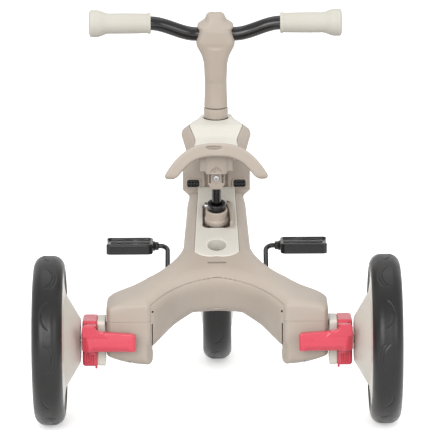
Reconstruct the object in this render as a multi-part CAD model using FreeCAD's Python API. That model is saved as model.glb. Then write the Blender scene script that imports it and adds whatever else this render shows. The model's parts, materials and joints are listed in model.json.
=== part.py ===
import FreeCAD, Part
import math
import os

# Children's tricycle: moulded Y-frame, steered driven front wheel, two quick-release
# rear wheel units, saddle on a clamped post.  Millimetres, +X right, +Y forward, +Z up.
# Origin: on the floor, on the symmetry plane, midway between the axles.

V = FreeCAD.Vector
UP = V(0, 0, 1)
RIGHT = V(1, 0, 0)
FORWARD = V(0, 1, 0)

# ---- driving dimensions -------------------------------------------------
WHEEL_D = 252.0          # all three wheels
TYRE_W = 45.0
TYRE_H = 23.0            # radial depth of the tyre
TYRE_ROUND = 13.0        # shoulder radius of the tyre
WHEELBASE = 408.0
OVERALL_W = 543.0        # over the rear tyres
HEAD_LEAN = 5.0          # degrees, steering axis leans back
SEAT_LEAN = 18.0         # degrees, seat post leans back
TOP_SLOPE = 24.0         # degrees, rear frame surface falls to the back
BAR_W = 396.0            # over the grips
BAR_D = 22.2
BAR_RISE = 20.0          # grips above the middle of the bar
GRIP_L = 97.0
GRIP_D = 30.5
FLANGE_D = 43.0
COLUMN_D = 37.0
STEER_TUBE_D = 25.4
CRANK_L = 80.0
CRANK_ANGLE = 31.0       # degrees above forward, at rest
CRANK_D = 8.0
CRANK_X = 79.0           # middle of the crank from the symmetry plane
PEDAL_W = 77.0
PEDAL_DEPTH = 60.0
PEDAL_T = 17.0
SADDLE_W = 159.0
SADDLE_L = 180.0
POST_D = 14.6
SOCKET_D = 28.5          # push-bar socket bore
SOCKET_DEPTH = 46.0
WALL = 3.5               # moulded frame wall
RUN_FIT = 0.05           # radial running clearance
GAP = 0.5                # clearance between moulded parts that move
BOX_W = 69.0             # rear frame ends that take the wheel units
BOX_DEPTH = 82.0
BOX_DROP = 32.0          # floor of the frame ends, below the axle
BOX_OUT_X = 166.0
SPINE_HALF = 44.5        # half width of the spine at its front end
SPINE_FRONT_Y = 30.0
ARCH_Y = -179.0          # rearmost point of the arch between the ends
ARCH_RISE = 29.0         # lower edge of the arch wall, above the axle
STUB_L = 14.0            # visible neck of the wheel unit
BAND_L = 20.0            # red band of the wheel unit
UNIT_H = 68.0
UNIT_DEPTH = 50.0
PLUG_HALF = 18.0         # half depth of the plug inside the frame end
PLUG_REACH = 46.0
AXLE_D = 10.0
SKIN = 3.0               # cream panels and covers

R = WHEEL_D / 2
FRONT_Y = WHEELBASE / 2
REAR_Y = -WHEELBASE / 2
WHEEL_X = (OVERALL_W - TYRE_W) / 2
RIM_R = R - TYRE_H
BOX_IN_X = BOX_OUT_X - BOX_W
BOX_REAR_Y = REAR_Y - BOX_DEPTH / 2
BOX_FRONT_Y = REAR_Y + BOX_DEPTH / 2
SLOPE = math.tan(math.radians(TOP_SLOPE))
BOX_FLOOR = R - BOX_DROP
ARCH_FLOOR = R + ARCH_RISE
FRAME_RISE = 2 * (R - 126.0)   # keeps the frame heights clear of the fork on larger wheels
TOP_REF_Y = -110.0       # where the socket crosses the top surface
TOP_REF_Z = 249.0 + FRAME_RISE
LEFT, RIGHT_SIDE = -1, 1
SIDES = ((LEFT, "left"), (RIGHT_SIDE, "right"))


# ---- helpers ------------------------------------------------------------
def box(x0, x1, y0, y1, z0, z1):
    low = V(min(x0, x1), min(y0, y1), min(z0, z1))
    return Part.makeBox(abs(x1 - x0), abs(y1 - y0), abs(z1 - z0), low)


def cyl(radius, start, end):
    return Part.makeCylinder(radius, (end - start).Length, start, end - start)


def tube(outer, inner, start, end):
    return cyl(outer, start, end).cut(cyl(inner, start, end))


def rounded_box(x0, x1, y0, y1, z0, z1, radius, axis):
    """A box whose four edges along one axis are rounded."""
    body = box(x0, x1, y0, y1, z0, z1)
    edges = [e for e in body.Edges if abs(e.tangentAt(e.FirstParameter).dot(axis)) > 0.99]
    return body.makeFillet(radius, edges)


def face_of(points):
    """Closed planar face through the points, straight sides."""
    return Part.Face(Part.makePolygon(points + [points[0]]))


def turned(profile, centre):
    """Solid of revolution about the X line through centre; profile holds (x, radius)."""
    points = [V(x, centre.y, centre.z + r) for x, r in profile]
    return face_of(points).revolve(centre, RIGHT, 360)


def mirrored(shape):
    return shape.mirror(V(0, 0, 0), RIGHT)


def on_side(shape, side):
    """The shape is drawn for the right side."""
    return shape if side == RIGHT_SIDE else mirrored(shape)


def group(shapes):
    return Part.makeCompound(shapes)


def arc(a, b, c):
    return Part.Arc(a, b, c).toShape()


def line(a, b):
    return Part.LineSegment(a, b).toShape()


def smooth(points):
    curve = Part.BSplineCurve()
    curve.interpolate(points)
    return curve.toShape()


def top_z(y):
    return TOP_REF_Z + SLOPE * (y - TOP_REF_Y)


# ---- steering axis and seat axis ----------------------------------------
HUB = V(0, FRONT_Y, R)
SEAT_Y = -48.0
SEAT_BASE = V(0, SEAT_Y, top_z(SEAT_Y))


def steer(shape):
    """Places a shape drawn upright, with the hub at the origin, on the steering axis."""
    shape = shape.copy()
    shape.rotate(V(0, 0, 0), RIGHT, HEAD_LEAN)
    shape.translate(HUB)
    return shape


def seat_axis(shape):
    """Places a shape drawn upright about the origin on the seat post axis."""
    shape = shape.copy()
    shape.rotate(V(0, 0, 0), RIGHT, SEAT_LEAN)
    shape.translate(SEAT_BASE)
    return shape


# heights along the steering axis, from the hub
CROWN_Z = R + 10.0
CROWN_H = 34.0
CROWN_TOP = CROWN_Z + CROWN_H
LEG_IN = 33.0
LEG_T = 10.0
LEG_OUT = LEG_IN + LEG_T
HEAD_TUBE_Z0 = CROWN_TOP + 9.0
HEAD_TOP = R + 142.0
HEAD_TUBE_R = 19.0
COLLAR_RIM_R = 25.0
BUSH_FLANGE = 3.0
RING_Z = HEAD_TOP + 1.0
RING_H = 17.0
COLUMN_Z0 = RING_Z + RING_H
BAR_Z = R + 278.0
STEM_Z0 = BAR_Z - 35.0
STEM_TOP = BAR_Z + 36.0


# ---- rear frame ---------------------------------------------------------
def plan_face(inset):
    """Outline of the rear Y-frame seen from above, drawn inwards by inset."""
    flank_y = -88.0
    corner = 12.0
    inner_corner = 6.0
    right = [
        V(SPINE_HALF, SPINE_FRONT_Y, 0), V(51, flank_y, 0), V(70, -130, 0), V(118, -157, 0),
        V(BOX_OUT_X - corner, BOX_FRONT_Y, 0), V(BOX_OUT_X, BOX_FRONT_Y - corner, 0),
        V(BOX_OUT_X, BOX_REAR_Y + corner, 0), V(BOX_OUT_X - corner, BOX_REAR_Y, 0),
        V(BOX_IN_X + inner_corner, BOX_REAR_Y, 0), V(BOX_IN_X, BOX_REAR_Y + inner_corner, 0),
    ]
    left = [V(-p.x, p.y, 0) for p in right]
    cut = corner * (1 - math.sqrt(0.5))
    small = inner_corner * (1 - math.sqrt(0.5))
    edges = []
    for side, pts in ((1, right), (-1, left)):
        front = V(side * (BOX_OUT_X - cut), BOX_FRONT_Y - cut, 0)
        rear = V(side * (BOX_OUT_X - cut), BOX_REAR_Y + cut, 0)
        inner = V(side * (BOX_IN_X + small), BOX_REAR_Y + small, 0)
        edges += [
            line(pts[0], pts[1]), arc(pts[1], pts[2], pts[3]), line(pts[3], pts[4]),
            arc(pts[4], front, pts[5]), line(pts[5], pts[6]), arc(pts[6], rear, pts[7]),
            line(pts[7], pts[8]), arc(pts[8], inner, pts[9]),
        ]
    edges.append(arc(right[9], V(0, ARCH_Y, 0), left[9]))
    edges.append(line(left[0], right[0]))
    wire = Part.Wire(Part.__sortEdges__(edges))
    face = Part.Face(wire)
    return face.makeOffset2D(-inset) if inset else face


def side_face(inset):
    """Outline of the rear frame seen from the side."""
    floor = BOX_FLOOR - 4
    belly = 205.0 + FRAME_RISE
    points = [
        V(0, BOX_REAR_Y - 5, floor), V(0, BOX_FRONT_Y + 3, floor),
        V(0, BOX_FRONT_Y + 16, ARCH_FLOOR - 3), V(0, -60, belly),
        V(0, SPINE_FRONT_Y, top_z(SPINE_FRONT_Y) - 46), V(0, SPINE_FRONT_Y, top_z(SPINE_FRONT_Y)),
        V(0, BOX_REAR_Y - 5, top_z(BOX_REAR_Y - 5)),
    ]
    face = face_of(points)
    return face.makeOffset2D(-inset) if inset else face


def crest_face(inset):
    """Outline of the rear frame seen from behind."""
    shoulder = V(BOX_OUT_X, 0, 175 + FRAME_RISE)
    crest = V(150, 0, 188 + FRAME_RISE)
    saddle_point = V(120, 0, 200 + FRAME_RISE)
    flank = V(76, 0, 222 + FRAME_RISE)
    root = V(58, 0, 262 + FRAME_RISE)
    peak = 345.0 + FRAME_RISE

    def flip(point):
        return V(-point.x, 0, point.z)
    right = [
        arc(shoulder, crest, saddle_point), arc(saddle_point, flank, root), line(root, V(root.x, 0, peak)),
    ]
    left = [
        arc(flip(shoulder), flip(crest), flip(saddle_point)), arc(flip(saddle_point), flip(flank), flip(root)),
        line(flip(root), V(-root.x, 0, peak)),
    ]
    foot = 12.0
    knee_x = 37.0
    for side, edges in ((1, right), (-1, left)):
        edges += [
            line(V(side * BOX_OUT_X, 0, shoulder.z), V(side * BOX_OUT_X, 0, BOX_FLOOR + foot + 2)),
            arc(V(side * BOX_OUT_X, 0, BOX_FLOOR + foot + 2), V(side * (BOX_OUT_X - 18), 0, BOX_FLOOR + 7),
                V(side * (BOX_IN_X + 10), 0, BOX_FLOOR)),
            arc(V(side * (BOX_IN_X + 10), 0, BOX_FLOOR), V(side * (BOX_IN_X + 3), 0, BOX_FLOOR + 3),
                V(side * BOX_IN_X, 0, BOX_FLOOR + 10)),
            line(V(side * BOX_IN_X, 0, BOX_FLOOR + 10), V(side * BOX_IN_X, 0, BOX_FLOOR + 26)),
            line(V(side * BOX_IN_X, 0, BOX_FLOOR + 26), V(side * knee_x, 0, ARCH_FLOOR)),
        ]
    edges = right + left
    edges.append(line(V(-root.x, 0, peak), V(root.x, 0, peak)))
    edges.append(line(V(-knee_x, 0, ARCH_FLOOR), V(knee_x, 0, ARCH_FLOOR)))
    face = Part.Face(Part.Wire(Part.__sortEdges__(edges)))
    return face.makeOffset2D(-inset) if inset else face


def frame_solid(inset):
    plan = plan_face(inset).extrude(V(0, 0, 500))
    side = side_face(inset)
    side.translate(V(-300, 0, 0))
    crest = crest_face(inset)
    crest.translate(V(0, -400, 0))
    return plan.common(side.extrude(V(600, 0, 0))).common(crest.extrude(V(0, 800, 0)))


def panel_prism():
    """Outline of the cream spine panel from above, as a tall prism."""
    front_half = 28.0
    rear_half = 34.0
    rear_y = -122.0
    end_y = -134.6
    front_y = SPINE_FRONT_Y
    edges = [
        line(V(front_half, front_y, 0), V(rear_half, rear_y, 0)),
        arc(V(rear_half, rear_y, 0), V(0, end_y, 0), V(-rear_half, rear_y, 0)),
        line(V(-rear_half, rear_y, 0), V(-front_half, front_y, 0)),
        line(V(-front_half, front_y, 0), V(front_half, front_y, 0)),
    ]
    return Part.Face(Part.Wire(edges)).extrude(V(0, 0, 400))


NOTCH_HALF = 21.0
NOTCH_REAR_Y = SEAT_Y - 14.0
COLLAR_R = 15.6
SOCKET_R = SOCKET_D / 2
SOCKET_WALL = 3.0
SLIT_Y = -150.0
SLIT_HALF = 14.3
SLIT_W = 3.4
PANEL_NORMAL = V(0, -math.sin(math.radians(TOP_SLOPE)), math.cos(math.radians(TOP_SLOPE)))
SOCKET_MOUTH = V(0, TOP_REF_Y, TOP_REF_Z)


def notch():
    """U-shaped clearance round the seat clamp."""
    body = box(-NOTCH_HALF, NOTCH_HALF, NOTCH_REAR_Y + 8, SPINE_FRONT_Y - 30, 200, 400)
    rear = rounded_box(-NOTCH_HALF, NOTCH_HALF, NOTCH_REAR_Y - 6, NOTCH_REAR_Y + 20, 200, 400, 12, UP)
    return body.fuse(rear)


def seat_well():
    """Bore through the shell for the seat tube."""
    return seat_axis(cyl(SEAT_TUBE_R, V(0, 0, SEAT_TUBE_LOW), V(0, 0, 60)))


SEAT_TUBE_R = 13.0
SEAT_TUBE_IN = 10.4
SEAT_TUBE_LOW = -45.0


def parting():
    """Everything above the parting surface between the top and lower frame shells."""
    rise = 24.0
    seam_z = BOX_FLOOR + 67.0
    points = [
        V(-300, BOX_REAR_Y - 20, seam_z), V(-300, BOX_FRONT_Y + 6, seam_z), V(-300, -60, top_z(-60) - rise),
        V(-300, SPINE_FRONT_Y + 5, top_z(SPINE_FRONT_Y) - rise), V(-300, SPINE_FRONT_Y + 5, 450),
        V(-300, BOX_REAR_Y - 20, 450),
    ]
    return face_of(points).extrude(V(600, 0, 0))


def arch_band():
    """The strip of wall that follows the arch between the two rear ends."""
    inner = V(BOX_IN_X, BOX_REAR_Y + 6, 0)
    arc_in = arc(V(inner.x, inner.y, 0), V(0, ARCH_Y, 0), V(-inner.x, inner.y, 0))
    arc_out = arc(V(inner.x, inner.y + 8, 0), V(0, ARCH_Y + WALL, 0), V(-inner.x, inner.y + 8, 0))
    ends = [line(V(s * inner.x, inner.y, 0), V(s * inner.x, inner.y + 8, 0)) for s in (1, -1)]
    strip = Part.Face(Part.Wire(Part.__sortEdges__([arc_in, arc_out] + ends)))
    strip = strip.extrude(V(0, 0, 400))
    below = face_of([
        V(-300, -300, 0), V(-300, 0, 0), V(-300, 0, top_z(0) - 4), V(-300, -300, top_z(-300) - 4),
    ]).extrude(V(600, 0, 0))
    return strip.common(below)


def unit_solid(x0, x1, shrink, radius):
    """Rounded block on the rear axle line, the section of the wheel unit."""
    return rounded_box(
        x0, x1, REAR_Y - UNIT_DEPTH / 2 + shrink, REAR_Y + UNIT_DEPTH / 2 - shrink,
        R - UNIT_H / 2 + shrink, R + UNIT_H / 2 - shrink, radius, RIGHT)


def unit_plug(x0, x1, shrink):
    """The part of a wheel unit that slides into the end of the frame."""
    return rounded_box(
        x0, x1, REAR_Y - PLUG_HALF + shrink, REAR_Y + PLUG_HALF - shrink,
        R - 13 + shrink, R + 26 - shrink, 8 - shrink, RIGHT)


def frame_shells():
    outer = frame_solid(0)
    shell = outer.cut(frame_solid(WALL))
    for side, _ in SIDES:
        shell = shell.cut(on_side(unit_plug(BOX_OUT_X - 12, BOX_OUT_X + 12, 0), side))
        slot_y = BOX_REAR_Y + 24
        slot = box(BOX_IN_X - 6, BOX_IN_X + 8, slot_y, slot_y + 30, R - 7, R + 31)
        shell = shell.cut(on_side(slot, side))
    skin = outer.cut(outer.translated(V(0, 0, -SKIN)))
    panel = skin.common(panel_prism()).cut(notch())
    socket = cyl(SOCKET_R + SOCKET_WALL, SOCKET_MOUTH - PANEL_NORMAL * 20, SOCKET_MOUTH + PANEL_NORMAL * 20)
    panel = panel.cut(socket)
    shell = shell.cut(panel_prism().common(skin)).cut(notch()).cut(socket)
    shell = shell.cut(seat_well())
    slit = box(-SLIT_HALF, SLIT_HALF, SLIT_Y - SLIT_W / 2, SLIT_Y + SLIT_W / 2, top_z(SLIT_Y) - 16, top_z(SLIT_Y) + 14)
    shell = shell.cut(slit)
    band = arch_band()
    wall = shell.common(band)
    rest = shell.cut(band)
    upper = parting()
    top = rest.common(upper)
    lower = rest.cut(upper)
    for x, y in screw_places():
        lower = lower.cut(screw(x, y))
    return {"frame_top_shell": top, "frame_lower_shell": lower, "frame_arch_wall": wall, "spine_panel": panel}


def push_bar_socket():
    start = SOCKET_MOUTH - PANEL_NORMAL * SOCKET_DEPTH
    floor = 4.0
    body = cyl(SOCKET_R + SOCKET_WALL, start - PANEL_NORMAL * floor, SOCKET_MOUTH)
    return body.cut(cyl(SOCKET_R, start, SOCKET_MOUTH + PANEL_NORMAL))


# ---- front frame --------------------------------------------------------
def ring_section(y, half):
    """Faceted section of the front frame; half holds (x, z) from the bottom up, right side."""
    right = [V(x, y, z) for x, z in half]
    left = [V(-x, y, z) for x, z in reversed(half)]
    return Part.makePolygon(right + left + [right[0]])


def front_body(shrink):
    stations = (
        (SPINE_FRONT_Y, ((46, 264), (48.5, 300), (48.5, 334), (30, 346))),
        (90, ((40, 296), (50, 322), (50, 350), (32, 362))),
        (140, ((34, 312), (44, 354), (55, 374), (40, 388))),
        (168, ((34, 312), (43, 354), (54, 374), (28, 392))),
        (FRONT_Y + 4, ((26, 312), (32, 352), (34, 372), (22, 388))),
    )
    wires = []
    for number, (y, half) in enumerate(stations):
        pulled = []
        mid = (half[0][1] + half[-1][1]) / 2
        for x, z in half:
            pulled.append((x - shrink, z - shrink if z > mid else z + shrink))
        ends = shrink if number == 0 else (-shrink if number == len(stations) - 1 else 0)
        wires.append(ring_section(y + ends, pulled))
    return Part.makeLoft(wires, True, True).translated(V(0, 0, FRAME_RISE))


def cover_prism():
    """Outline of the cream cover seen along the length of the trike."""
    half = [(26, 420), (42, 389), (31, 370), (38, 352), (30, 330)]
    points = [V(x, 60, z) for x, z in half] + [V(-x, 60, z) for x, z in reversed(half)]
    return face_of(points).extrude(V(0, 150, 0)).translated(V(0, 0, FRAME_RISE))


def head_bore():
    return steer(cyl(HEAD_TUBE_R, V(0, 0, HEAD_TUBE_Z0 - 30), V(0, 0, HEAD_TOP + 60)))


def head_collar(radius, top):
    """Round rim of the cover below the steering column."""
    return steer(cyl(radius, V(0, 0, HEAD_TOP - 14), V(0, 0, top)))


def front_frame_parts():
    body = front_body(0)
    hollow = front_body(4)
    skin = body.cut(body.translated(V(0, 0, -SKIN)))
    cover = skin.common(cover_prism())
    shell = body.cut(hollow).cut(cover).cut(head_bore())
    shell = shell.cut(head_collar(COLLAR_RIM_R, HEAD_TOP + 60))
    cover = cover.cut(head_collar(COLLAR_RIM_R, HEAD_TOP + 60)).fuse(head_collar(COLLAR_RIM_R, HEAD_TOP))
    cover = cover.cut(head_bore())
    plug_holes = [plug(side) for side, _ in SIDES]
    for hole in plug_holes:
        shell = shell.cut(hole)
    return {"front_frame": shell, "head_cover": cover}


SCREW_X = 128.0
SCREW_R = 2.0
PLUG_X = 35.5
PLUG_Z = 317.0 + FRAME_RISE
PLUG_W = 18.0
PLUG_H = 11.0
PLUG_DEEP = 9.0


def plug(side):
    y = SPINE_FRONT_Y
    body = rounded_box(
        PLUG_X - PLUG_W / 2, PLUG_X + PLUG_W / 2, y - 1.5, y + PLUG_DEEP,
        PLUG_Z - PLUG_H / 2, PLUG_Z + PLUG_H / 2, 3.5, FORWARD)
    return on_side(body, side)


def frame_plugs():
    plugs = []
    for side, _ in SIDES:
        body = plug(side)
        for column in (-1, 0, 1):
            for row in (-1, 1):
                x = side * PLUG_X + column * 4.6
                z = PLUG_Z + row * 2.2
                body = body.cut(box(x - 1.7, x + 1.7, SPINE_FRONT_Y - 2, SPINE_FRONT_Y + 1, z - 1.5, z + 1.5))
        plugs.append(body)
    return group(plugs)


def head_tube():
    return steer(tube(HEAD_TUBE_R, HEAD_TUBE_R - 2.5, V(0, 0, HEAD_TUBE_Z0), V(0, 0, HEAD_TOP - BUSH_FLANGE)))


def headset_bushes():
    """Two flanged plastic bushes pressed into the head tube."""
    bore = STEER_TUBE_D / 2 + RUN_FIT
    inner = HEAD_TUBE_R - 2.5
    sleeve = 14.0
    low = tube(inner, bore, V(0, 0, HEAD_TUBE_Z0), V(0, 0, HEAD_TUBE_Z0 + sleeve))
    low = low.fuse(tube(HEAD_TUBE_R + 3, bore, V(0, 0, HEAD_TUBE_Z0 - BUSH_FLANGE), V(0, 0, HEAD_TUBE_Z0)))
    top_at = HEAD_TOP - BUSH_FLANGE
    high = tube(inner, bore, V(0, 0, top_at - sleeve), V(0, 0, top_at))
    high = high.fuse(tube(HEAD_TUBE_R, bore, V(0, 0, top_at), V(0, 0, HEAD_TOP)))
    return group([steer(low), steer(high)])


# ---- steering -----------------------------------------------------------
CRANK_SHAFT_R = 6.0
FORK_BUSH_R = 9.0


def fork():
    crown = rounded_box(-LEG_OUT, LEG_OUT, -22, 22, CROWN_Z, CROWN_TOP, 10, FORWARD)
    body = crown
    for side, _ in SIDES:
        leg = box(LEG_IN, LEG_OUT, -17, 17, 0, CROWN_Z + 12)
        foot = cyl(17, V(LEG_IN, 0, 0), V(LEG_OUT, 0, 0))
        body = body.fuse(on_side(leg.fuse(foot), side))
    bushes = cyl(FORK_BUSH_R, V(-LEG_OUT - 1, 0, 0), V(LEG_OUT + 1, 0, 0))
    socket = cyl(STEER_TUBE_D / 2, V(0, 0, CROWN_Z + 6), V(0, 0, CROWN_TOP + 1))
    return steer(body.cut(bushes).cut(socket))


def fork_bushes():
    bore = CRANK_SHAFT_R + RUN_FIT
    flange = 1.6
    made = []
    for side, _ in SIDES:
        sleeve = tube(FORK_BUSH_R, bore, V(LEG_IN, 0, 0), V(LEG_OUT, 0, 0))
        lip = tube(FORK_BUSH_R + 3, bore, V(LEG_OUT, 0, 0), V(LEG_OUT + flange, 0, 0))
        made.append(steer(on_side(sleeve.fuse(lip), side)))
    return group(made)


def steerer_tube():
    outer = STEER_TUBE_D / 2
    return steer(tube(outer, outer - 2, V(0, 0, CROWN_Z + 6), V(0, 0, STEM_Z0 + 16)))


def column_ring():
    body = tube(COLUMN_D / 2 + 0.6, STEER_TUBE_D / 2, V(0, 0, RING_Z), V(0, 0, COLUMN_Z0))
    return steer(body)


def column_cover():
    """Waisted moulded sleeve round the steerer."""
    waist = COLUMN_D / 2 - 1.2
    end = COLUMN_D / 2
    top = STEM_Z0
    middle = (COLUMN_Z0 + top) / 2
    outline = [V(end, 0, COLUMN_Z0), V(waist, 0, middle), V(end, 0, top)]
    edges = [
        arc(*outline), line(outline[2], V(STEER_TUBE_D / 2, 0, top)),
        line(V(STEER_TUBE_D / 2, 0, top), V(STEER_TUBE_D / 2, 0, COLUMN_Z0)),
        line(V(STEER_TUBE_D / 2, 0, COLUMN_Z0), outline[0]),
    ]
    return steer(Part.Face(Part.Wire(edges)).revolve(V(0, 0, 0), UP, 360))


def stem_head():
    """Moulded head that wraps the middle of the handlebar."""
    half = [(18.5, STEM_Z0), (29, BAR_Z - 12), (27.5, BAR_Z - 4), (23, BAR_Z + 6), (27, BAR_Z + 13),
            (25, BAR_Z + 18), (15.5, BAR_Z + 25), (12, BAR_Z + 33), (6, STEM_TOP)]
    depth = 19.0
    right = [V(x, -depth, z) for x, z in half]
    left = [V(-x, -depth, z) for x, z in reversed(half)]
    front = face_of(right + left).extrude(V(0, 2 * depth, 0))
    side = [V(-40, y, z) for y, z in (
        (-18.5, STEM_Z0), (-19, BAR_Z + 4), (-14, BAR_Z + 27), (-6, STEM_TOP),
        (6, STEM_TOP), (14, BAR_Z + 27), (19, BAR_Z + 4), (18.5, STEM_Z0))]
    body = front.common(face_of(side).extrude(V(80, 0, 0)))
    bore = cyl(BAR_D / 2, V(-60, 0, BAR_Z), V(60, 0, BAR_Z))
    well = cyl(STEER_TUBE_D / 2, V(0, 0, STEM_Z0 - 1), V(0, 0, STEM_Z0 + 16))
    return steer(body.cut(bore).cut(well))


BEND_R = 42.0
FLAT_HALF = 32.0         # straight middle of the bar
GRIP_IN = BAR_W / 2 - GRIP_L
BAR_SWEEP = 10.0         # grips behind the middle of the bar


def bar_path(reach):
    """Middle line of the handlebar, out to reach on each side."""
    shift = V(GRIP_IN - 6 - FLAT_HALF, -BAR_SWEEP, BAR_RISE)
    start = V(FLAT_HALF, 0, BAR_Z)
    end = start + shift
    middle = (start + end) * 0.5
    slope = V(shift.x, shift.y, shift.z)
    slope.normalize()
    bend_in = middle - slope * 12
    bend_out = middle + slope * 12
    right = [
        Part.BezierCurve(), Part.BezierCurve(),
    ]
    right[0].setPoles([start, start + V(10, 0, 0), bend_in - slope * 8, middle])
    right[1].setPoles([middle, bend_out + slope * 8, end - V(10, 0, 0), end])
    tip = V(reach, end.y, end.z)
    half = [right[0].toShape(), right[1].toShape(), line(end, tip)]
    other = [edge.mirror(V(0, 0, 0), RIGHT) for edge in half]
    edges = half + other + [line(V(-FLAT_HALF, 0, BAR_Z), start)]
    return Part.Wire(Part.__sortEdges__(edges)), tip


def handlebar():
    path, tip = bar_path(BAR_W / 2 - 4)
    ring = Part.Wire(Part.makeCircle(BAR_D / 2, V(-tip.x, tip.y, tip.z), RIGHT))
    bar = path.makePipeShell([ring], True, False)
    return steer(bar)


def grip():
    """Right hand grip: inner collar, swelling body and round end flange."""
    _, tip = bar_path(BAR_W / 2 - 4)
    x0 = GRIP_IN
    x1 = BAR_W / 2
    body_r = GRIP_D / 2
    flange_r = FLANGE_D / 2
    flange_x = x1 - 14
    edges = [
        line(V(x0, 0, 0), V(x0, 0, body_r)),
        arc(V(x0, 0, body_r), V(x0 + 3, 0, body_r + 0.6), V(x0 + 6, 0, body_r - 0.6)),
        arc(V(x0 + 6, 0, body_r - 0.6), V((x0 + flange_x) / 2, 0, body_r + 0.8), V(flange_x, 0, body_r - 0.4)),
        line(V(flange_x, 0, body_r - 0.4), V(flange_x + 2, 0, flange_r - 1)),
        arc(V(flange_x + 2, 0, flange_r - 1), V(flange_x + 6, 0, flange_r), V(x1 - 4, 0, flange_r - 4)),
        line(V(x1 - 4, 0, flange_r - 4), V(x1, 0, flange_r - 11)),
        line(V(x1, 0, flange_r - 11), V(x1, 0, 0)),
        line(V(x1, 0, 0), V(x0, 0, 0)),
    ]
    solid = Part.Face(Part.Wire(edges)).revolve(V(0, 0, 0), RIGHT, 360)
    solid = solid.cut(cyl(BAR_D / 2, V(x0 - 1, 0, 0), V(tip.x, 0, 0)))
    solid.translate(V(0, tip.y, tip.z))
    return solid


# ---- wheels -------------------------------------------------------------
def tyre(centre):
    """Round-shouldered solid tyre on the X line through centre."""
    half = TYRE_W / 2
    foot = half - 3
    knee = R - TYRE_ROUND
    x = centre.x
    bulge = V(x + half - TYRE_ROUND * 0.29, centre.y, centre.z + R - TYRE_ROUND * 0.42)

    def at(dx, r):
        return V(x + dx, centre.y, centre.z + r)
    flat = 6.0
    edges = [
        line(at(-foot, RIM_R), at(foot, RIM_R)), line(at(foot, RIM_R), at(half, knee)),
        arc(at(half, knee), bulge, at(flat, R)), line(at(flat, R), at(-flat, R)),
        arc(at(-flat, R), V(2 * x - bulge.x, bulge.y, bulge.z), at(-half, knee)),
        line(at(-half, knee), at(-foot, RIM_R)),
    ]
    return Part.Face(Part.Wire(Part.__sortEdges__(edges))).revolve(centre, RIGHT, 360)


HUB_R = 33.0
DISC_T = 3.0
HUB_BORE = 8.5


def cone_disc(x_mid, x_end, centre):
    """Moulded wheel half: rim flange at x_mid, cone out to the hub face at x_end."""
    way = 1 if x_end > x_mid else -1
    rim_x = x_mid + way * (TYRE_W / 2 - 3)
    profile = [
        (x_mid, RIM_R), (rim_x, RIM_R), (rim_x, RIM_R - 2), (rim_x + way * 1.5, RIM_R - 16),
        (rim_x + way * 4, RIM_R - 32), (x_end, HUB_R), (x_end, HUB_BORE), (x_mid, HUB_BORE),
        (x_mid, HUB_BORE + DISC_T), (x_end - way * DISC_T, HUB_BORE + DISC_T),
        (x_end - way * DISC_T, HUB_R - 2), (rim_x + way * (4 - DISC_T), RIM_R - 33),
        (rim_x - way * DISC_T, RIM_R - 16), (rim_x - way * DISC_T, RIM_R - DISC_T), (x_mid, RIM_R - DISC_T),
    ]
    return turned(profile, centre)


REAR_HUB_IN = WHEEL_X - 46.0
REAR_HUB_OUT = WHEEL_X + 17.0


def rear_wheel(side, name):
    centre = V(WHEEL_X, REAR_Y, R)
    bore = AXLE_D / 2 + RUN_FIT
    inner = cone_disc(WHEEL_X, REAR_HUB_IN, centre)
    outer = cone_disc(WHEEL_X, REAR_HUB_OUT - 3.5, centre)
    low = V(REAR_HUB_IN, REAR_Y, R)
    high = V(REAR_HUB_OUT - 3.5, REAR_Y, R)
    sleeve = 14.0
    bushes = group([
        tube(HUB_BORE, bore, low, low + RIGHT * sleeve),
        tube(HUB_BORE, bore, high - RIGHT * (sleeve + 5), high - RIGHT * 5),
    ])
    cap_at = REAR_HUB_OUT - 3.5
    cap = turned([(cap_at, 0), (cap_at, 28), (cap_at + 2.5, 25), (cap_at + 4.5, 14), (cap_at + 5, 0)], centre)
    pieces = {
        "rear_tyre_" + name: tyre(centre),
        "rear_disc_inner_" + name: inner,
        "rear_disc_outer_" + name: outer,
        "rear_hub_bushes_" + name: bushes,
        "rear_hub_cap_" + name: cap,
    }
    return {key: on_side(shape, side) for key, shape in pieces.items()}


FRONT_HUB_END = LEG_IN - 3.0


def front_wheel():
    """Tyre, two cone discs and the hub sleeve that turns on the crank shafts."""
    centre = HUB
    bore = CRANK_SHAFT_R + RUN_FIT
    sleeve = tube(HUB_BORE, bore, V(-FRONT_HUB_END, FRONT_Y, R), V(FRONT_HUB_END, FRONT_Y, R))
    return {
        "front_tyre": tyre(centre),
        "front_disc_right": cone_disc(0, FRONT_HUB_END, centre),
        "front_disc_left": cone_disc(0, -FRONT_HUB_END, centre),
        "front_hub_sleeve": sleeve,
    }


# ---- cranks and pedals --------------------------------------------------
CRANK_DIR = V(0, math.cos(math.radians(CRANK_ANGLE)), math.sin(math.radians(CRANK_ANGLE)))
PEDAL_AT = HUB + CRANK_DIR * CRANK_L
PEDAL_IN_X = 102.5
PEDAL_OUT_X = PEDAL_IN_X + PEDAL_W
SPINDLE_END = PEDAL_OUT_X - 10.0
CRANK_BEND = 12.0


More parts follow.
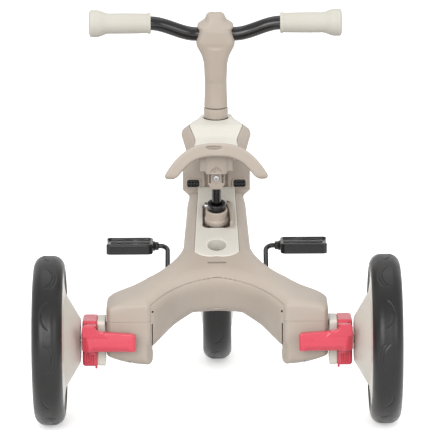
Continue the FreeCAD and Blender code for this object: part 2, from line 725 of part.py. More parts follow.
def crank():
    """Right crank: shaft in the fork, bent rod, pedal spindle."""
    shaft = cyl(CRANK_SHAFT_R, V(1, FRONT_Y, R), V(CRANK_X - CRANK_BEND, FRONT_Y, R))
    a = HUB + RIGHT * (CRANK_X - CRANK_BEND)
    corner = HUB + RIGHT * CRANK_X
    b = corner + CRANK_DIR * CRANK_BEND
    c = PEDAL_AT + RIGHT * CRANK_X - CRANK_DIR * CRANK_BEND
    d = PEDAL_AT + RIGHT * (CRANK_X + CRANK_BEND)
    half = CRANK_BEND * (1 - math.sqrt(0.5))
    mid_one = corner - RIGHT * half + CRANK_DIR * half
    top = PEDAL_AT + RIGHT * CRANK_X
    mid_two = top + RIGHT * half - CRANK_DIR * half
    path = Part.Wire([
        line(a - RIGHT * 4, a), arc(a, mid_one, b), line(b, c), arc(c, mid_two, d),
        line(d, PEDAL_AT + RIGHT * SPINDLE_END),
    ])
    ring = Part.Wire(Part.makeCircle(CRANK_D / 2, a - RIGHT * 4, RIGHT))
    return path.makePipeShell([ring], True, False).fuse(shaft)


def pedal():
    """Right pedal: open tray with a spindle barrel across the middle and curved ribs."""
    x0, x1 = PEDAL_IN_X, PEDAL_OUT_X
    y, z = PEDAL_AT.y, PEDAL_AT.z
    depth, thick = PEDAL_DEPTH / 2, PEDAL_T / 2
    wall = 3.5
    outer = rounded_box(x0, x1, y - depth, y + depth, z - thick, z + thick, 8, UP)
    inner = rounded_box(
        x0 + wall, x1 - wall, y - depth + wall, y + depth - wall, z - thick - 1, z + thick + 1, 5, UP)
    web = 3.0
    floor = rounded_box(
        x0 + wall - 1, x1 - wall + 1, y - depth + wall - 1, y + depth - wall + 1, z - web / 2, z + web / 2, 4, UP)
    barrel_r = 7.5
    barrel = cyl(barrel_r, V(x0 - 9, y, z), V(x1 - 2, y, z))
    bore = cyl(CRANK_D / 2 + RUN_FIT, V(x0 - 10, y, z), V(SPINDLE_END + GAP, y, z))
    body = outer.cut(inner).fuse(floor).fuse(barrel)
    return body.cut(bore)


# ---- rear wheel units ---------------------------------------------------
BAND_X0 = BOX_OUT_X + STUB_L
BAND_X1 = BAND_X0 + BAND_L
PIN_X = BAND_X0 + 6.0
PIN_Y = REAR_Y - UNIT_DEPTH / 2 - 14.0
PIN_R = 2.5
LUG_R = 8.0
LEVER_Z0 = R - 5.0
LEVER_Z1 = R + 25.0
LEVER_TIP_X = 119.5


def wheel_stub():
    """Cream neck that plugs into the frame end and carries the axle."""
    neck = unit_solid(BOX_OUT_X, BAND_X0, 0, 14)
    plug = unit_plug(BOX_OUT_X - PLUG_REACH, BOX_OUT_X + 1, 0)
    axle = cyl(AXLE_D / 2, V(80, REAR_Y, R), V(AXLE_END_X, REAR_Y, R))
    return neck.fuse(plug).cut(axle)


def latch_band():
    """Red band with the two hinge lugs of the release lever."""
    body = unit_solid(BAND_X0, BAND_X1, 0, 14)
    axle = cyl(AXLE_D / 2, V(80, REAR_Y, R), V(260, REAR_Y, R))
    lug_t = 6.0
    for z0 in (LEVER_Z0 - GAP - lug_t, LEVER_Z1 + GAP):
        lug = box(BAND_X0, PIN_X + LUG_R, PIN_Y, REAR_Y - 10, z0, z0 + lug_t)
        eye = cyl(LUG_R, V(PIN_X, PIN_Y, z0), V(PIN_X, PIN_Y, z0 + lug_t))
        body = body.fuse(lug.fuse(eye))
    pin = cyl(PIN_R, V(PIN_X, PIN_Y, 0), V(PIN_X, PIN_Y, 300))
    return body.cut(axle).cut(pin)


def latch_pin():
    return cyl(PIN_R, V(PIN_X, PIN_Y, LEVER_Z0 - 7), V(PIN_X, PIN_Y, LEVER_Z1 + 7))


def latch_lever():
    """Red paddle: barrel on the pin, plate that runs inwards behind the frame end."""
    reach_y = BOX_REAR_Y - GAP - 3.0
    barrel = cyl(LUG_R, V(PIN_X, PIN_Y, LEVER_Z0), V(PIN_X, PIN_Y, LEVER_Z1))
    rear = reach_y - 16.0
    edges = [
        line(V(PIN_X - 4, PIN_Y, 0), V(PIN_X - 22, reach_y, 0)),
        line(V(PIN_X - 22, reach_y, 0), V(LEVER_TIP_X + 6, reach_y, 0)),
        arc(V(LEVER_TIP_X + 6, reach_y, 0), V(LEVER_TIP_X, (reach_y + rear) / 2, 0), V(LEVER_TIP_X + 6, rear, 0)),
        line(V(LEVER_TIP_X + 6, rear, 0), V(PIN_X + 4, rear + 0.5, 0)),
        arc(V(PIN_X + 4, rear + 0.5, 0), V(PIN_X + 13, PIN_Y - 13, 0), V(PIN_X + 14, PIN_Y, 0)),
        line(V(PIN_X + 14, PIN_Y, 0), V(PIN_X - 4, PIN_Y, 0)),
    ]
    plate = Part.Face(Part.Wire(edges)).extrude(V(0, 0, LEVER_Z1 - LEVER_Z0))
    plate.translate(V(0, 0, LEVER_Z0))
    body = plate.fuse(barrel)
    return body.cut(cyl(PIN_R + RUN_FIT, V(PIN_X, PIN_Y, 0), V(PIN_X, PIN_Y, 300)))


AXLE_IN_X = BOX_OUT_X - PLUG_REACH + 2
AXLE_END_X = REAR_HUB_OUT - 3.5 - 2.0


def rear_axle():
    return cyl(AXLE_D / 2, V(AXLE_IN_X, REAR_Y, R), V(AXLE_END_X, REAR_Y, R))


# ---- seat ---------------------------------------------------------------
COLLAR_LOW = -4.0
COLLAR_TOP = 19.0
CUP_TOP = 29.0
CUP_R = 14.2
POST_LOW = -43.0
POST_TOP = 66.0
BOLT_R = 3.0


def seat_tube():
    """Tube that stands in the spine."""
    return seat_axis(tube(SEAT_TUBE_R, SEAT_TUBE_IN, V(0, 0, SEAT_TUBE_LOW), V(0, 0, COLLAR_TOP - 1)))


def seat_collar():
    """Tan clamp round the top of the seat tube, ears towards the front."""
    body = tube(COLLAR_R, SEAT_TUBE_R, V(0, 0, COLLAR_LOW), V(0, 0, COLLAR_TOP - 1))
    ears = box(-9, 9, SEAT_TUBE_R + 0.5, SEAT_TUBE_R + 14, 5, COLLAR_TOP - 2)
    core = cyl(SEAT_TUBE_R, V(0, 0, -10), V(0, 0, 40))
    slot = box(-1, 1, SEAT_TUBE_R - 1, SEAT_TUBE_R + 16, -10, 40)
    bolt = cyl(BOLT_R, V(-30, EAR_Y, EAR_Z), V(30, EAR_Y, EAR_Z))
    return seat_axis(body.fuse(ears).cut(core).cut(slot).cut(bolt))


EAR_Y = SEAT_TUBE_R + 8.5
EAR_Z = 11.0
LEVER_PIVOT_X = 17.0


def clamp_bolt():
    """Cross bolt of the collar with its nut on the left and fork head on the right."""
    rod = cyl(BOLT_R, V(-12, EAR_Y, EAR_Z), V(LEVER_PIVOT_X - 4, EAR_Y, EAR_Z))
    nut = cyl(5.5, V(-18, EAR_Y, EAR_Z), V(-9, EAR_Y, EAR_Z))
    pin = cyl(2.0, V(LEVER_PIVOT_X, EAR_Y, EAR_Z - 8), V(LEVER_PIVOT_X, EAR_Y, EAR_Z + 8))
    eye = cyl(4.6, V(LEVER_PIVOT_X, EAR_Y, EAR_Z - 2.5), V(LEVER_PIVOT_X, EAR_Y, EAR_Z + 2.5))
    return seat_axis(rod.fuse(nut).fuse(eye).fuse(pin))


def seat_lever():
    """Quick-release lever, curved round the right side of the collar."""
    inner_r = COLLAR_R + 3.0
    lever_t = 6.0
    low, high = EAR_Z - 7.0, EAR_Z + 7.0
    reach = -26.0
    pivot = V(LEVER_PIVOT_X, EAR_Y, 0)
    cam = cyl(7.0, V(pivot.x, pivot.y, low), V(pivot.x, pivot.y, high))
    edges = [
        line(V(pivot.x, pivot.y + 6, 0), V(pivot.x + 6.9, pivot.y, 0)),
        arc(V(pivot.x + 6.9, pivot.y, 0), V(inner_r + lever_t + 1.4, 2, 0), V(inner_r + lever_t, reach, 0)),
        line(V(inner_r + lever_t, reach, 0), V(inner_r + 1, reach - 2, 0)),
        arc(V(inner_r + 1, reach - 2, 0), V(inner_r + 1.6, 0, 0), V(pivot.x - 1, pivot.y, 0)),
        line(V(pivot.x - 1, pivot.y, 0), V(pivot.x, pivot.y + 6, 0)),
    ]
    blade = Part.Face(Part.Wire(edges)).extrude(V(0, 0, high - low))
    blade.translate(V(0, 0, low))
    body = cam.fuse(blade)
    slot = cyl(7.6, V(pivot.x, pivot.y, EAR_Z - 3), V(pivot.x, pivot.y, EAR_Z + 3))
    slot = slot.fuse(box(-30, pivot.x, pivot.y - 7.6, pivot.y + 7.6, EAR_Z - 3, EAR_Z + 3))
    hole = cyl(2.0 + RUN_FIT, V(pivot.x, pivot.y, low - 1), V(pivot.x, pivot.y, high + 1))
    return seat_axis(body.cut(slot).cut(hole))


def seat_bush():
    """Black sleeve with the cup-shaped lip that the post slides in."""
    bore = POST_D / 2 + RUN_FIT
    sleeve = tube(SEAT_TUBE_IN, bore, V(0, 0, -30), V(0, 0, COLLAR_TOP - 1))
    lip = tube(CUP_R, bore, V(0, 0, COLLAR_TOP - 1), V(0, 0, CUP_TOP - 4))
    rim = tube(CUP_R - 2, bore, V(0, 0, CUP_TOP - 4), V(0, 0, CUP_TOP))
    return seat_axis(sleeve.fuse(lip).fuse(rim))


def seat_post():
    outer = POST_D / 2
    return seat_axis(tube(outer, outer - 1.8, V(0, 0, POST_LOW), V(0, 0, POST_TOP)))


CLAMP_LOW = 58.0
CLAMP_TOP_Z = 88.0
CLAMP_HALF = 12.5


def saddle_clamp():
    """Block on top of the post, tapered below, side slots, bolt hole from behind."""
    taper = 8.0
    half = [(CLAMP_HALF - 4, CLAMP_LOW), (CLAMP_HALF, CLAMP_LOW + taper), (CLAMP_HALF, CLAMP_TOP_Z)]
    points = [V(x, -13, z) for x, z in half] + [V(-x, -13, z) for x, z in reversed(half)]
    body = face_of(points).extrude(V(0, 26, 0))
    for side, _ in SIDES:
        groove = box(CLAMP_HALF - 3, CLAMP_HALF + 1, -14, -2, CLAMP_LOW + taper + 1, CLAMP_TOP_Z - 4)
        body = body.cut(on_side(groove, side))
    post = cyl(POST_D / 2, V(0, 0, CLAMP_LOW - 1), V(0, 0, POST_TOP))
    bolt = cyl(3.0, V(0, -20, BOLT_Z), V(0, 20, BOLT_Z))
    head = cyl(5.2, V(0, -20, BOLT_Z), V(0, -11, BOLT_Z))
    return seat_axis(body.cut(post).cut(bolt).cut(head))


BOLT_Z = CLAMP_LOW + 20.0


def saddle_bolt():
    rod = cyl(3.0, V(0, -11, BOLT_Z), V(0, 12, BOLT_Z))
    head = cyl(5.0, V(0, -15, BOLT_Z), V(0, -11, BOLT_Z))
    hexagon = cyl(2.4, V(0, -16, BOLT_Z), V(0, -12.5, BOLT_Z))
    return seat_axis(rod.fuse(head).cut(hexagon))


SADDLE_REAR_Y = -130.0
SADDLE_T = 5.0


def saddle_section(y, half_w, crown, drop, thick):
    """Arched closed section across the saddle at y."""
    out = [V(-half_w, y, crown - drop), V(-half_w * 0.77, y, crown - drop * 0.48),
           V(-half_w * 0.49, y, crown - drop * 0.13), V(0, y, crown),
           V(half_w * 0.49, y, crown - drop * 0.13), V(half_w * 0.77, y, crown - drop * 0.48),
           V(half_w, y, crown - drop)]
    inner_w = half_w - thick
    low = crown - thick
    back = [V(inner_w, y, crown - drop - thick * 0.5), V(inner_w * 0.75, y, low - drop * 0.45),
            V(inner_w * 0.47, y, low - drop * 0.11), V(0, y, low),
            V(-inner_w * 0.47, y, low - drop * 0.11), V(-inner_w * 0.75, y, low - drop * 0.45),
            V(-inner_w, y, crown - drop - thick * 0.5)]
    top, bottom = smooth(out), smooth(back)
    return Part.Wire([top, line(out[-1], back[0]), bottom, line(back[-1], out[0])])


def saddle_shell():
    half = SADDLE_W / 2
    front = SADDLE_REAR_Y + SADDLE_L
    stations = (
        (SADDLE_REAR_Y, half, 410, 54, 15), (SADDLE_REAR_Y + 22, half - 1, 401, 49, SADDLE_T),
        (SADDLE_REAR_Y + 65, half - 8, 390, 41, SADDLE_T), (SADDLE_REAR_Y + 120, half * 0.6, 382, 24, SADDLE_T),
        (front - 20, half * 0.42, 376, 15, SADDLE_T), (front, half * 0.3, 373, 10, SADDLE_T),
    )
    shell = Part.makeLoft([saddle_section(*row) for row in stations], True, False)
    return shell.translated(V(0, 0, FRAME_RISE))


def saddle_bracket():
    """Tan block under the shell that sits on the saddle clamp."""
    body = rounded_box(-16.5, 16.5, -22, 22, CLAMP_TOP_Z, CLAMP_TOP_Z + 48, 5, UP)
    body = seat_axis(body)
    under = saddle_shell()
    return max(body.cut(under).Solids, key=lambda solid: -solid.CenterOfMass.z + solid.Volume * 1e-3)


# ---- fasteners ----------------------------------------------------------
def screw_places():
    return [(side * SCREW_X, y) for side, _ in SIDES for y in (BOX_REAR_Y + 14, BOX_FRONT_Y - 14)]


def shell_screws():
    """Pan-head screws that hold the lower shell, up through the floor of each end."""
    return group([screw(x, y) for x, y in screw_places()])


def screw(x, y):
    head = cyl(SCREW_R * 2, V(x, y, BOX_FLOOR - 1), V(x, y, BOX_FLOOR + 2))
    return head.fuse(cyl(SCREW_R, V(x, y, BOX_FLOOR + 1), V(x, y, BOX_FLOOR + 16)))


def build():
    parts = {}
    parts.update(frame_shells())
    parts.update(front_frame_parts())
    parts["shell_screws"] = shell_screws()
    parts["push_bar_socket"] = push_bar_socket()
    parts["frame_plugs"] = frame_plugs()
    parts["head_tube"] = head_tube()
    parts["headset_bushes"] = headset_bushes()
    parts["fork"] = fork()
    parts["fork_bushes"] = fork_bushes()
    parts["steerer_tube"] = steerer_tube()
    parts["column_ring"] = column_ring()
    parts["column_cover"] = column_cover()
    parts["stem_head"] = stem_head()
    parts["handlebar"] = handlebar()
    parts.update(front_wheel())
    parts["seat_tube"] = seat_tube()
    parts["seat_collar"] = seat_collar()
    parts["clamp_bolt"] = clamp_bolt()
    parts["seat_lever"] = seat_lever()
    parts["seat_bush"] = seat_bush()
    parts["seat_post"] = seat_post()
    parts["saddle_clamp"] = saddle_clamp()
    parts["saddle_bolt"] = saddle_bolt()
    parts["saddle_shell"] = saddle_shell()
    parts["saddle_bracket"] = saddle_bracket()
    hand = grip()
    for side, name in SIDES:
        parts.update(rear_wheel(side, name))
        parts["grip_" + name] = steer(on_side(hand, side))
        parts["crank_" + name] = on_side(crank(), side)
        parts["pedal_" + name] = on_side(pedal(), side)
        parts["wheel_stub_" + name] = on_side(wheel_stub(), side)
        parts["latch_band_" + name] = on_side(latch_band(), side)
        parts["latch_pin_" + name] = on_side(latch_pin(), side)
        parts["latch_lever_" + name] = on_side(latch_lever(), side)
        parts["rear_axle_" + name] = on_side(rear_axle(), side)
    return parts


os.makedirs("parts", exist_ok=True)
for node, shape in build().items():
    shape.exportStep("parts/" + node + ".step")
    print(node, len(shape.Solids), round(shape.Volume), shape.isValid())
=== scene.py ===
import bmesh
import bpy
import json
import math
import numpy as np
from mathutils import Matrix, Vector


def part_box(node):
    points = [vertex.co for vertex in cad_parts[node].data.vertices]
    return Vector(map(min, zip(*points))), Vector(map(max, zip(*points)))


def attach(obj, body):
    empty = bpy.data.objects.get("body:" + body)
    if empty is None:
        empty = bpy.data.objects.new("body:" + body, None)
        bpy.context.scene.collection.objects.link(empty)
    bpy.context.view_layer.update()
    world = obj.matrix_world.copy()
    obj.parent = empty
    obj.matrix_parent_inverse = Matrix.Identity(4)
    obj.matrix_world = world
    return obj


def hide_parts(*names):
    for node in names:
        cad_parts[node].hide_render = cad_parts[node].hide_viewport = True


# Looks of the children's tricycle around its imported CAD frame. Shapes are drawn in
# millimetres and turned into metres by MM when a mesh is made.

MM = 0.001
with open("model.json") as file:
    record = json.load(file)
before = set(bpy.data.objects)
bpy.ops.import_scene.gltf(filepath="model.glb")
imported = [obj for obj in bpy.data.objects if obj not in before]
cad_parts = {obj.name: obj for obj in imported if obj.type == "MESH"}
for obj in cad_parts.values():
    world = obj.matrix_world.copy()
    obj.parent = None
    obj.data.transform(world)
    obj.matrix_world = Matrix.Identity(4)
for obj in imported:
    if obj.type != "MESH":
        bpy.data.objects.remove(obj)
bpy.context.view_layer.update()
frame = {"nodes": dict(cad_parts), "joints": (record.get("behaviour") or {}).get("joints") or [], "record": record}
NODES = frame["nodes"]
JOINTS = {joint["name"]: joint for joint in frame["joints"]}
SIDES = ((-1, "left"), (1, "right"))


# ---- places read from the frame -----------------------------------------
def low(node):
    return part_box(node)[0] / MM


def high(node):
    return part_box(node)[1] / MM


def middle(node):
    return (low(node) + high(node)) / 2


WHEEL_R = (high("rear_tyre_right") - low("rear_tyre_right")).z / 2
REAR = middle("rear_tyre_right")
HUB = middle("front_tyre")
STEER_AXIS = Vector(JOINTS["steer"]["axis"]).normalized()
SEAT_AXIS = Vector(JOINTS["saddle_height"]["axis"]).normalized()


# ---- materials ----------------------------------------------------------
def linear(red, green, blue):
    """Linear colour from the usual 0 to 255 values."""
    def one(value):
        value /= 255
        return value / 12.92 if value <= 0.04045 else ((value + 0.055) / 1.055) ** 2.4
    return (one(red), one(green), one(blue), 1.0)


class Graph:
    """Small helper to write a material's nodes in one line each."""

    def __init__(self, name):
        self.material = bpy.data.materials.new(name)
        self.material.use_nodes = True
        self.tree = self.material.node_tree
        self.shader = self.tree.nodes["Principled BSDF"]

    def add(self, kind, settings=None, **inputs):
        node = self.tree.nodes.new("ShaderNode" + kind)
        for key, value in (settings or {}).items():
            setattr(node, key, value)
        return self.fill(node, **inputs)

    def fill(self, node, **inputs):
        for key, value in inputs.items():
            self.put(node, key.replace("_", " "), value)
        return node

    def put(self, node, socket, value):
        if isinstance(value, bpy.types.NodeSocket):
            self.tree.links.new(value, node.inputs[socket])
        else:
            node.inputs[socket].default_value = value

    def noise(self, scale, detail=4.0, rough=0.55):
        where = self.add("TexCoord").outputs["Object"]
        node = self.add("TexNoise", Vector=where, Scale=scale, Detail=detail, Roughness=rough)
        return node.outputs["Fac"]

    def ramp(self, value, low_end, high_end, from_low=0.35, from_high=0.65):
        node = self.add("MapRange", Value=value, From_Min=from_low, From_Max=from_high, To_Min=low_end,
                        To_Max=high_end)
        return node.outputs["Result"]

    def mix(self, factor, first, second, blend="MIX"):
        node = self.add("Mix", {"data_type": "RGBA", "blend_type": blend})
        self.put(node, 0, factor)
        self.put(node, 6, first)
        self.put(node, 7, second)
        return node.outputs[2]

    def bump(self, height, strength, distance, under=None):
        node = self.add("Bump", Height=height, Strength=strength, Distance=distance)
        if under is not None:
            self.put(node, "Normal", under)
        return node.outputs["Normal"]

    def edge_highlight(self, amount):
        """Painted highlight mask: up to amount on outer edges, 0 on flat faces and in hollows."""
        product = self.add("Math", {"operation": "MULTIPLY"})
        geometry = self.add("NewGeometry")
        self.put(product, 0, self.ramp(geometry.outputs["Pointiness"], 0.0, 1.0, 0.51, 0.60))
        self.put(product, 1, amount)
        return product.outputs[0]

    def surface(self, **inputs):
        """Sets or links the shader's inputs, and returns the finished material."""
        self.fill(self.shader, **inputs)
        return self.material


def moulded(name, colour, tint, roughness, grain=0.10, grain_scale=1400.0, coat=0.0, edge_highlight=None):
    """Injection-moulded plastic: faint flow tint, satin grain, scuffs and a painted highlight on outer edges."""
    g = Graph(name)
    flow = g.ramp(g.noise(7.0, 3.0), 0.0, 1.0)
    speck = g.ramp(g.noise(420.0, 2.0), 0.0, 0.35)
    base = g.mix(flow, colour, tint)
    base = g.mix(speck, base, tuple(c * 0.93 for c in colour[:3]) + (1.0,))
    # Paler colour of the painted highlight on outer edges.
    highlight_colour = edge_highlight or tuple(min(1.0, c * 1.25 + 0.02) for c in colour[:3]) + (1.0,)
    normal = g.bump(g.noise(grain_scale, 2.0), grain, 0.0003)
    return g.surface(
        Base_Color=g.mix(g.edge_highlight(0.25), base, highlight_colour),
        Roughness=g.ramp(g.noise(38.0, 6.0, 0.7), roughness - 0.05, roughness + 0.09),
        Coat_Weight=coat, Coat_Roughness=0.12,
        Normal=g.bump(g.noise(9.0, 2.0), 0.25, 0.0012, normal))


def tyre_rubber():
    """Dusty black rubber, with a painted grey highlight on its outer edges."""
    g = Graph("look_tyre_rubber")
    dust = g.ramp(g.noise(22.0, 6.0, 0.65), 0.0, 0.5)
    base = g.mix(dust, linear(15, 15, 15), linear(25, 25, 24))
    normal = g.bump(g.noise(900.0, 3.0), 0.12, 0.0003)
    return g.surface(
        # Grey outer edges: a painted highlight.
        Base_Color=g.mix(g.edge_highlight(0.35), base, linear(62, 61, 59)),
        Roughness=g.ramp(g.noise(30.0, 6.0, 0.7), 0.28, 0.44), Specular_IOR_Level=0.38,
        Normal=g.bump(g.noise(55.0, 3.0), 0.10, 0.0010, normal))


def gloss_black(name, roughness):
    """Black paint or gloss nylon with a clear coat, faint orange peel and dust."""
    g = Graph(name)
    dust = g.ramp(g.noise(60.0, 5.0, 0.7), 0.0, 0.4)
    return g.surface(
        Base_Color=g.mix(dust, linear(7, 7, 8), linear(17, 16, 17)),
        Roughness=g.ramp(g.noise(35.0, 5.0, 0.7), roughness - 0.04, roughness + 0.08),
        Coat_Weight=0.3, Coat_Roughness=0.08, Specular_IOR_Level=0.35,
        Normal=g.bump(g.noise(260.0, 2.0), 0.06, 0.0004))


def steel():
    g = Graph("look_steel")
    scratches = g.ramp(g.noise(480.0, 4.0, 0.8), 0.0, 1.0)
    return g.surface(
        Base_Color=g.mix(scratches, linear(196, 196, 198), linear(150, 150, 152)), Metallic=1.0,
        Roughness=g.ramp(g.noise(90.0, 4.0), 0.22, 0.38),
        Normal=g.bump(g.noise(700.0, 2.0), 0.08, 0.0002))


LOOKS = {
    "tan_plastic": moulded("look_tan", linear(171, 160, 149), linear(167, 155, 143), 0.46),
    "cream_plastic": moulded("look_cream", linear(206, 203, 194), linear(203, 199, 188), 0.33, grain=0.05),
    # The red's paler pink edge colour is a painted highlight.
    "red_plastic": moulded("look_red", linear(204, 58, 78), linear(196, 48, 70), 0.30, grain=0.04, coat=0.25,
                           edge_highlight=linear(214, 104, 114)),
    "black_plastic": gloss_black("look_black_plastic", 0.34),
    "black_bar": gloss_black("look_black_bar", 0.20),
    "cream_rubber": moulded("look_grip", linear(190, 187, 177), linear(186, 182, 171), 0.55, grain=0.16,
                            grain_scale=900.0),
    "dark_nylon": moulded("look_dark_nylon", linear(26, 26, 26), linear(22, 22, 23), 0.5),
    "tyre_rubber": tyre_rubber(),
    "steel": steel(),
}


def dress_cad_nodes():
    """Every carried-over CAD node gets the detailed material of its slot."""
    for part in frame["record"]["subparts"]:
        node = NODES[part["node"]]
        look = LOOKS[part["material_slot"]]
        if not node.material_slots:
            node.data.materials.append(look)
        for place in node.material_slots:
            place.material = look


# ---- soft moulded shapes ------------------------------------------------
# A moulded piece is the space where a few outlines agree, with its edges melted
# together. A field is negative inside; soft_both() keeps what is inside both.
class Outline:
    """Closed flat outline. A point is (u, v); a point (u, v, u2, v2) is an arc through u, v to u2, v2."""

    def __init__(self, points, mirror=False, steps=14):
        path = []
        for point in points:
            if len(point) == 4:
                path += self.arc(path[-1], point[:2], point[2:], steps)
            else:
                path.append(tuple(point))
        if mirror:
            path += [(-u, v) for u, v in reversed(path) if u > 1e-9]
        self.path = np.array(path, float)

    @staticmethod
    def arc(start, through, end, steps):
        a, b, c = (complex(*p) for p in (start, through, end))
        w = (c - a) / (b - a)
        centre = a + (b - a) * (w - abs(w) ** 2) / (w - w.conjugate())
        first = np.angle(a - centre)
        turn = (np.angle(c - centre) - first) % (2 * np.pi)
        if (np.angle(b - centre) - first) % (2 * np.pi) > turn:
            turn -= 2 * np.pi
        radius = abs(a - centre)
        angles = first + turn * np.arange(1, steps + 1) / steps
        return [(centre.real + radius * np.cos(t), centre.imag + radius * np.sin(t)) for t in angles]

    def distance(self, u, v):
        """Signed distance to the outline, negative inside, for arrays that broadcast."""
        u, v = np.broadcast_arrays(u, v)
        shape = u.shape
        u, v = u.ravel(), v.ravel()
        best = np.full(u.shape, 1e18)
        inside = np.zeros(u.shape, bool)
        for (au, av), (bu, bv) in zip(self.path, np.roll(self.path, -1, axis=0)):
            du, dv = bu - au, bv - av
            length = du * du + dv * dv
            if length < 1e-12:
                continue
            t = np.clip(((u - au) * du + (v - av) * dv) / length, 0, 1)
            best = np.minimum(best, (u - au - t * du) ** 2 + (v - av - t * dv) ** 2)
            if abs(dv) > 1e-12:
                inside ^= ((av > v) != (bv > v)) & (u < (v - av) / dv * du + au)
        return (np.sqrt(best) * np.where(inside, -1, 1)).reshape(shape)


def soft_both(first, second, blend):
    """Inside both, with the shared edge rounded over about blend."""
    near = np.maximum(blend - np.abs(first - second), 0) / blend
    return np.maximum(first, second) + near * near * blend / 4


def soft_any(first, second, blend):
    return -soft_both(-first, -second, blend)


def smooth_step(value):
    value = np.clip(value, 0, 1)
    return value * value * (3 - 2 * value)


def slab(value, low_end, high_end):
    """Between two planes."""
    return np.maximum(low_end - value, value - high_end)


def rounded_rect(u, v, centre_u, centre_v, half_u, half_v, radius):
    du = np.abs(u - centre_u) - (half_u - radius)
    dv = np.abs(v - centre_v) - (half_v - radius)
    outside = np.sqrt(np.maximum(du, 0) ** 2 + np.maximum(dv, 0) ** 2)
    return outside + np.minimum(np.maximum(du, dv), 0) - radius


def crossing_cells(values, cell, corner):
    """Mean crossing point of every grid cell that the surface passes through."""
    inside = values < 0
    cells = tuple(n - 1 for n in values.shape)
    total = np.zeros(cells + (3,))
    count = np.zeros(cells)
    grid = [corner[k] + cell * np.arange(values.shape[k]) for k in range(3)]
    for k in range(3):
        first = [slice(None)] * 3
        second = [slice(None)] * 3
        first[k], second[k] = slice(0, -1), slice(1, None)
        a, b = values[tuple(first)], values[tuple(second)]
        cross = inside[tuple(first)] != inside[tuple(second)]
        share = np.where(cross, a / np.where(cross, a - b, 1.0), 0.0)
        place = []
        for m in range(3):
            shape = [1, 1, 1]
            shape[m] = -1
            line = grid[m][:a.shape[m]].reshape(shape)
            place.append(np.broadcast_to(line, a.shape) + (share * cell if m == k else 0.0))
        others = [m for m in range(3) if m != k]
        for i in (0, 1):
            for j in (0, 1):
                part = [slice(None)] * 3
                part[others[0]] = slice(i, i + cells[others[0]])
                part[others[1]] = slice(j, j + cells[others[1]])
                part = tuple(part)
                count += cross[part]
                for m in range(3):
                    total[..., m] += np.where(cross[part], place[m][part], 0.0)
    return inside, total, count


def net(field, lowest, highest, cell):
    """Quad mesh of the zero surface of field(x, y, z): points and faces."""
    size = [int(math.ceil((b - a) / cell)) + 1 for a, b in zip(lowest, highest)]
    grid = [lowest[k] + cell * np.arange(size[k]) for k in range(3)]
    values = field(grid[0][:, None, None], grid[1][None, :, None], grid[2][None, None, :])
    values = np.broadcast_to(values, size)
    inside, total, count = crossing_cells(values, cell, lowest)
    used = count > 0
    number = np.full(count.shape, -1)
    number[used] = np.arange(used.sum())
    points = total[used] / count[used][:, None]
    faces = []
    for k in range(3):
        i, j = (k + 1) % 3, (k + 2) % 3
        first, second = [slice(1, -1)] * 3, [slice(1, -1)] * 3
        first[k], second[k] = slice(0, -1), slice(1, None)
        cross = np.argwhere(inside[tuple(first)] != inside[tuple(second)])
        spot = cross.copy()
        spot[:, i] += 1
        spot[:, j] += 1
        corners = []
        for di, dj in ((-1, -1), (0, -1), (0, 0), (-1, 0)):
            at = spot.copy()
            at[:, i] += di
            at[:, j] += dj
            corners.append(number[at[:, 0], at[:, 1], at[:, 2]])
        quads = np.stack(corners, axis=1)
        outward = inside[spot[:, 0], spot[:, 1], spot[:, 2]]
        faces.append(np.where(outward[:, None], quads, quads[:, ::-1]))
    return points, np.concatenate(faces)


def slope_of(field, points, step=0.02):
    gradient = np.empty_like(points)
    for k in range(3):
        ahead, behind = points.copy(), points.copy()
        ahead[:, k] += step
        behind[:, k] -= step
        gradient[:, k] = (field(*ahead.T) - field(*behind.T)) / (2 * step)
    return gradient


def settle(field, points, rounds=2):
    """Moves points along the field's slope onto its zero surface."""
    for _ in range(rounds):
        gradient = slope_of(field, points)
        length = np.maximum((gradient ** 2).sum(1), 0.05)
        points = points - gradient * (field(*points.T) / length)[:, None]
    return points


def relaxed(field, points, faces, rounds=3):
    """Evens out the quads while keeping the points on the surface."""
    for _ in range(rounds):
        total = np.zeros_like(points)
        count = np.zeros(len(points))
        for k in range(4):
            np.add.at(total, faces[:, k], points[faces[:, k - 1]] + points[faces[:, (k + 1) % 4]])
            np.add.at(count, faces[:, k], 2)
        points = settle(field, points * 0.4 + total / count[:, None] * 0.6, 1)
    return settle(field, points, 1)


UPRIGHT = Matrix.Identity(4)


def linked(name, data):
    """New object with this data, in the scene."""
    piece = bpy.data.objects.new(name, data)
    bpy.context.scene.collection.objects.link(piece)
    return piece


def placed(origin, axis_z, axis_x=None):
    """Matrix that puts a shape drawn upright about the origin onto an axis."""
    z = Vector(axis_z).normalized()
    if axis_x is None:
        axis_x = Vector((0, 1, 0)) if abs(z.x) > 0.9 else Vector((1, 0, 0))
    x = (axis_x - axis_x.project(z)).normalized()
    y = z.cross(x)
    turn = Matrix((x, y, z)).transposed().to_4x4()
    return Matrix.Translation(origin) @ turn


SIDEWAYS = placed((0, 0, 0), (1, 0, 0), Vector((0, 1, 0)))
FACING_REAR = placed((0, 0, 0), (0, -1, 0))


def make(name, points, faces, where=UPRIGHT, angle=40.0):
    """Object from points in millimetres, drawn where the matrix puts them."""
    mesh = bpy.data.meshes.new(name)
    mesh.from_pydata([tuple(p) for p in np.asarray(points, float)], [], [tuple(f) for f in faces])
    mesh.transform(where)
    mesh.transform(Matrix.Scale(MM, 4))
    mesh.validate()
    piece = linked(name, mesh)
    shade(piece, angle)
    return piece


def shade(piece, angle):
    mesh = piece.data
    mesh.polygons.foreach_set("use_smooth", [angle > 0] * len(mesh.polygons))
    if angle > 0:
        mesh.set_sharp_from_angle(angle=math.radians(angle))
    mesh.update()


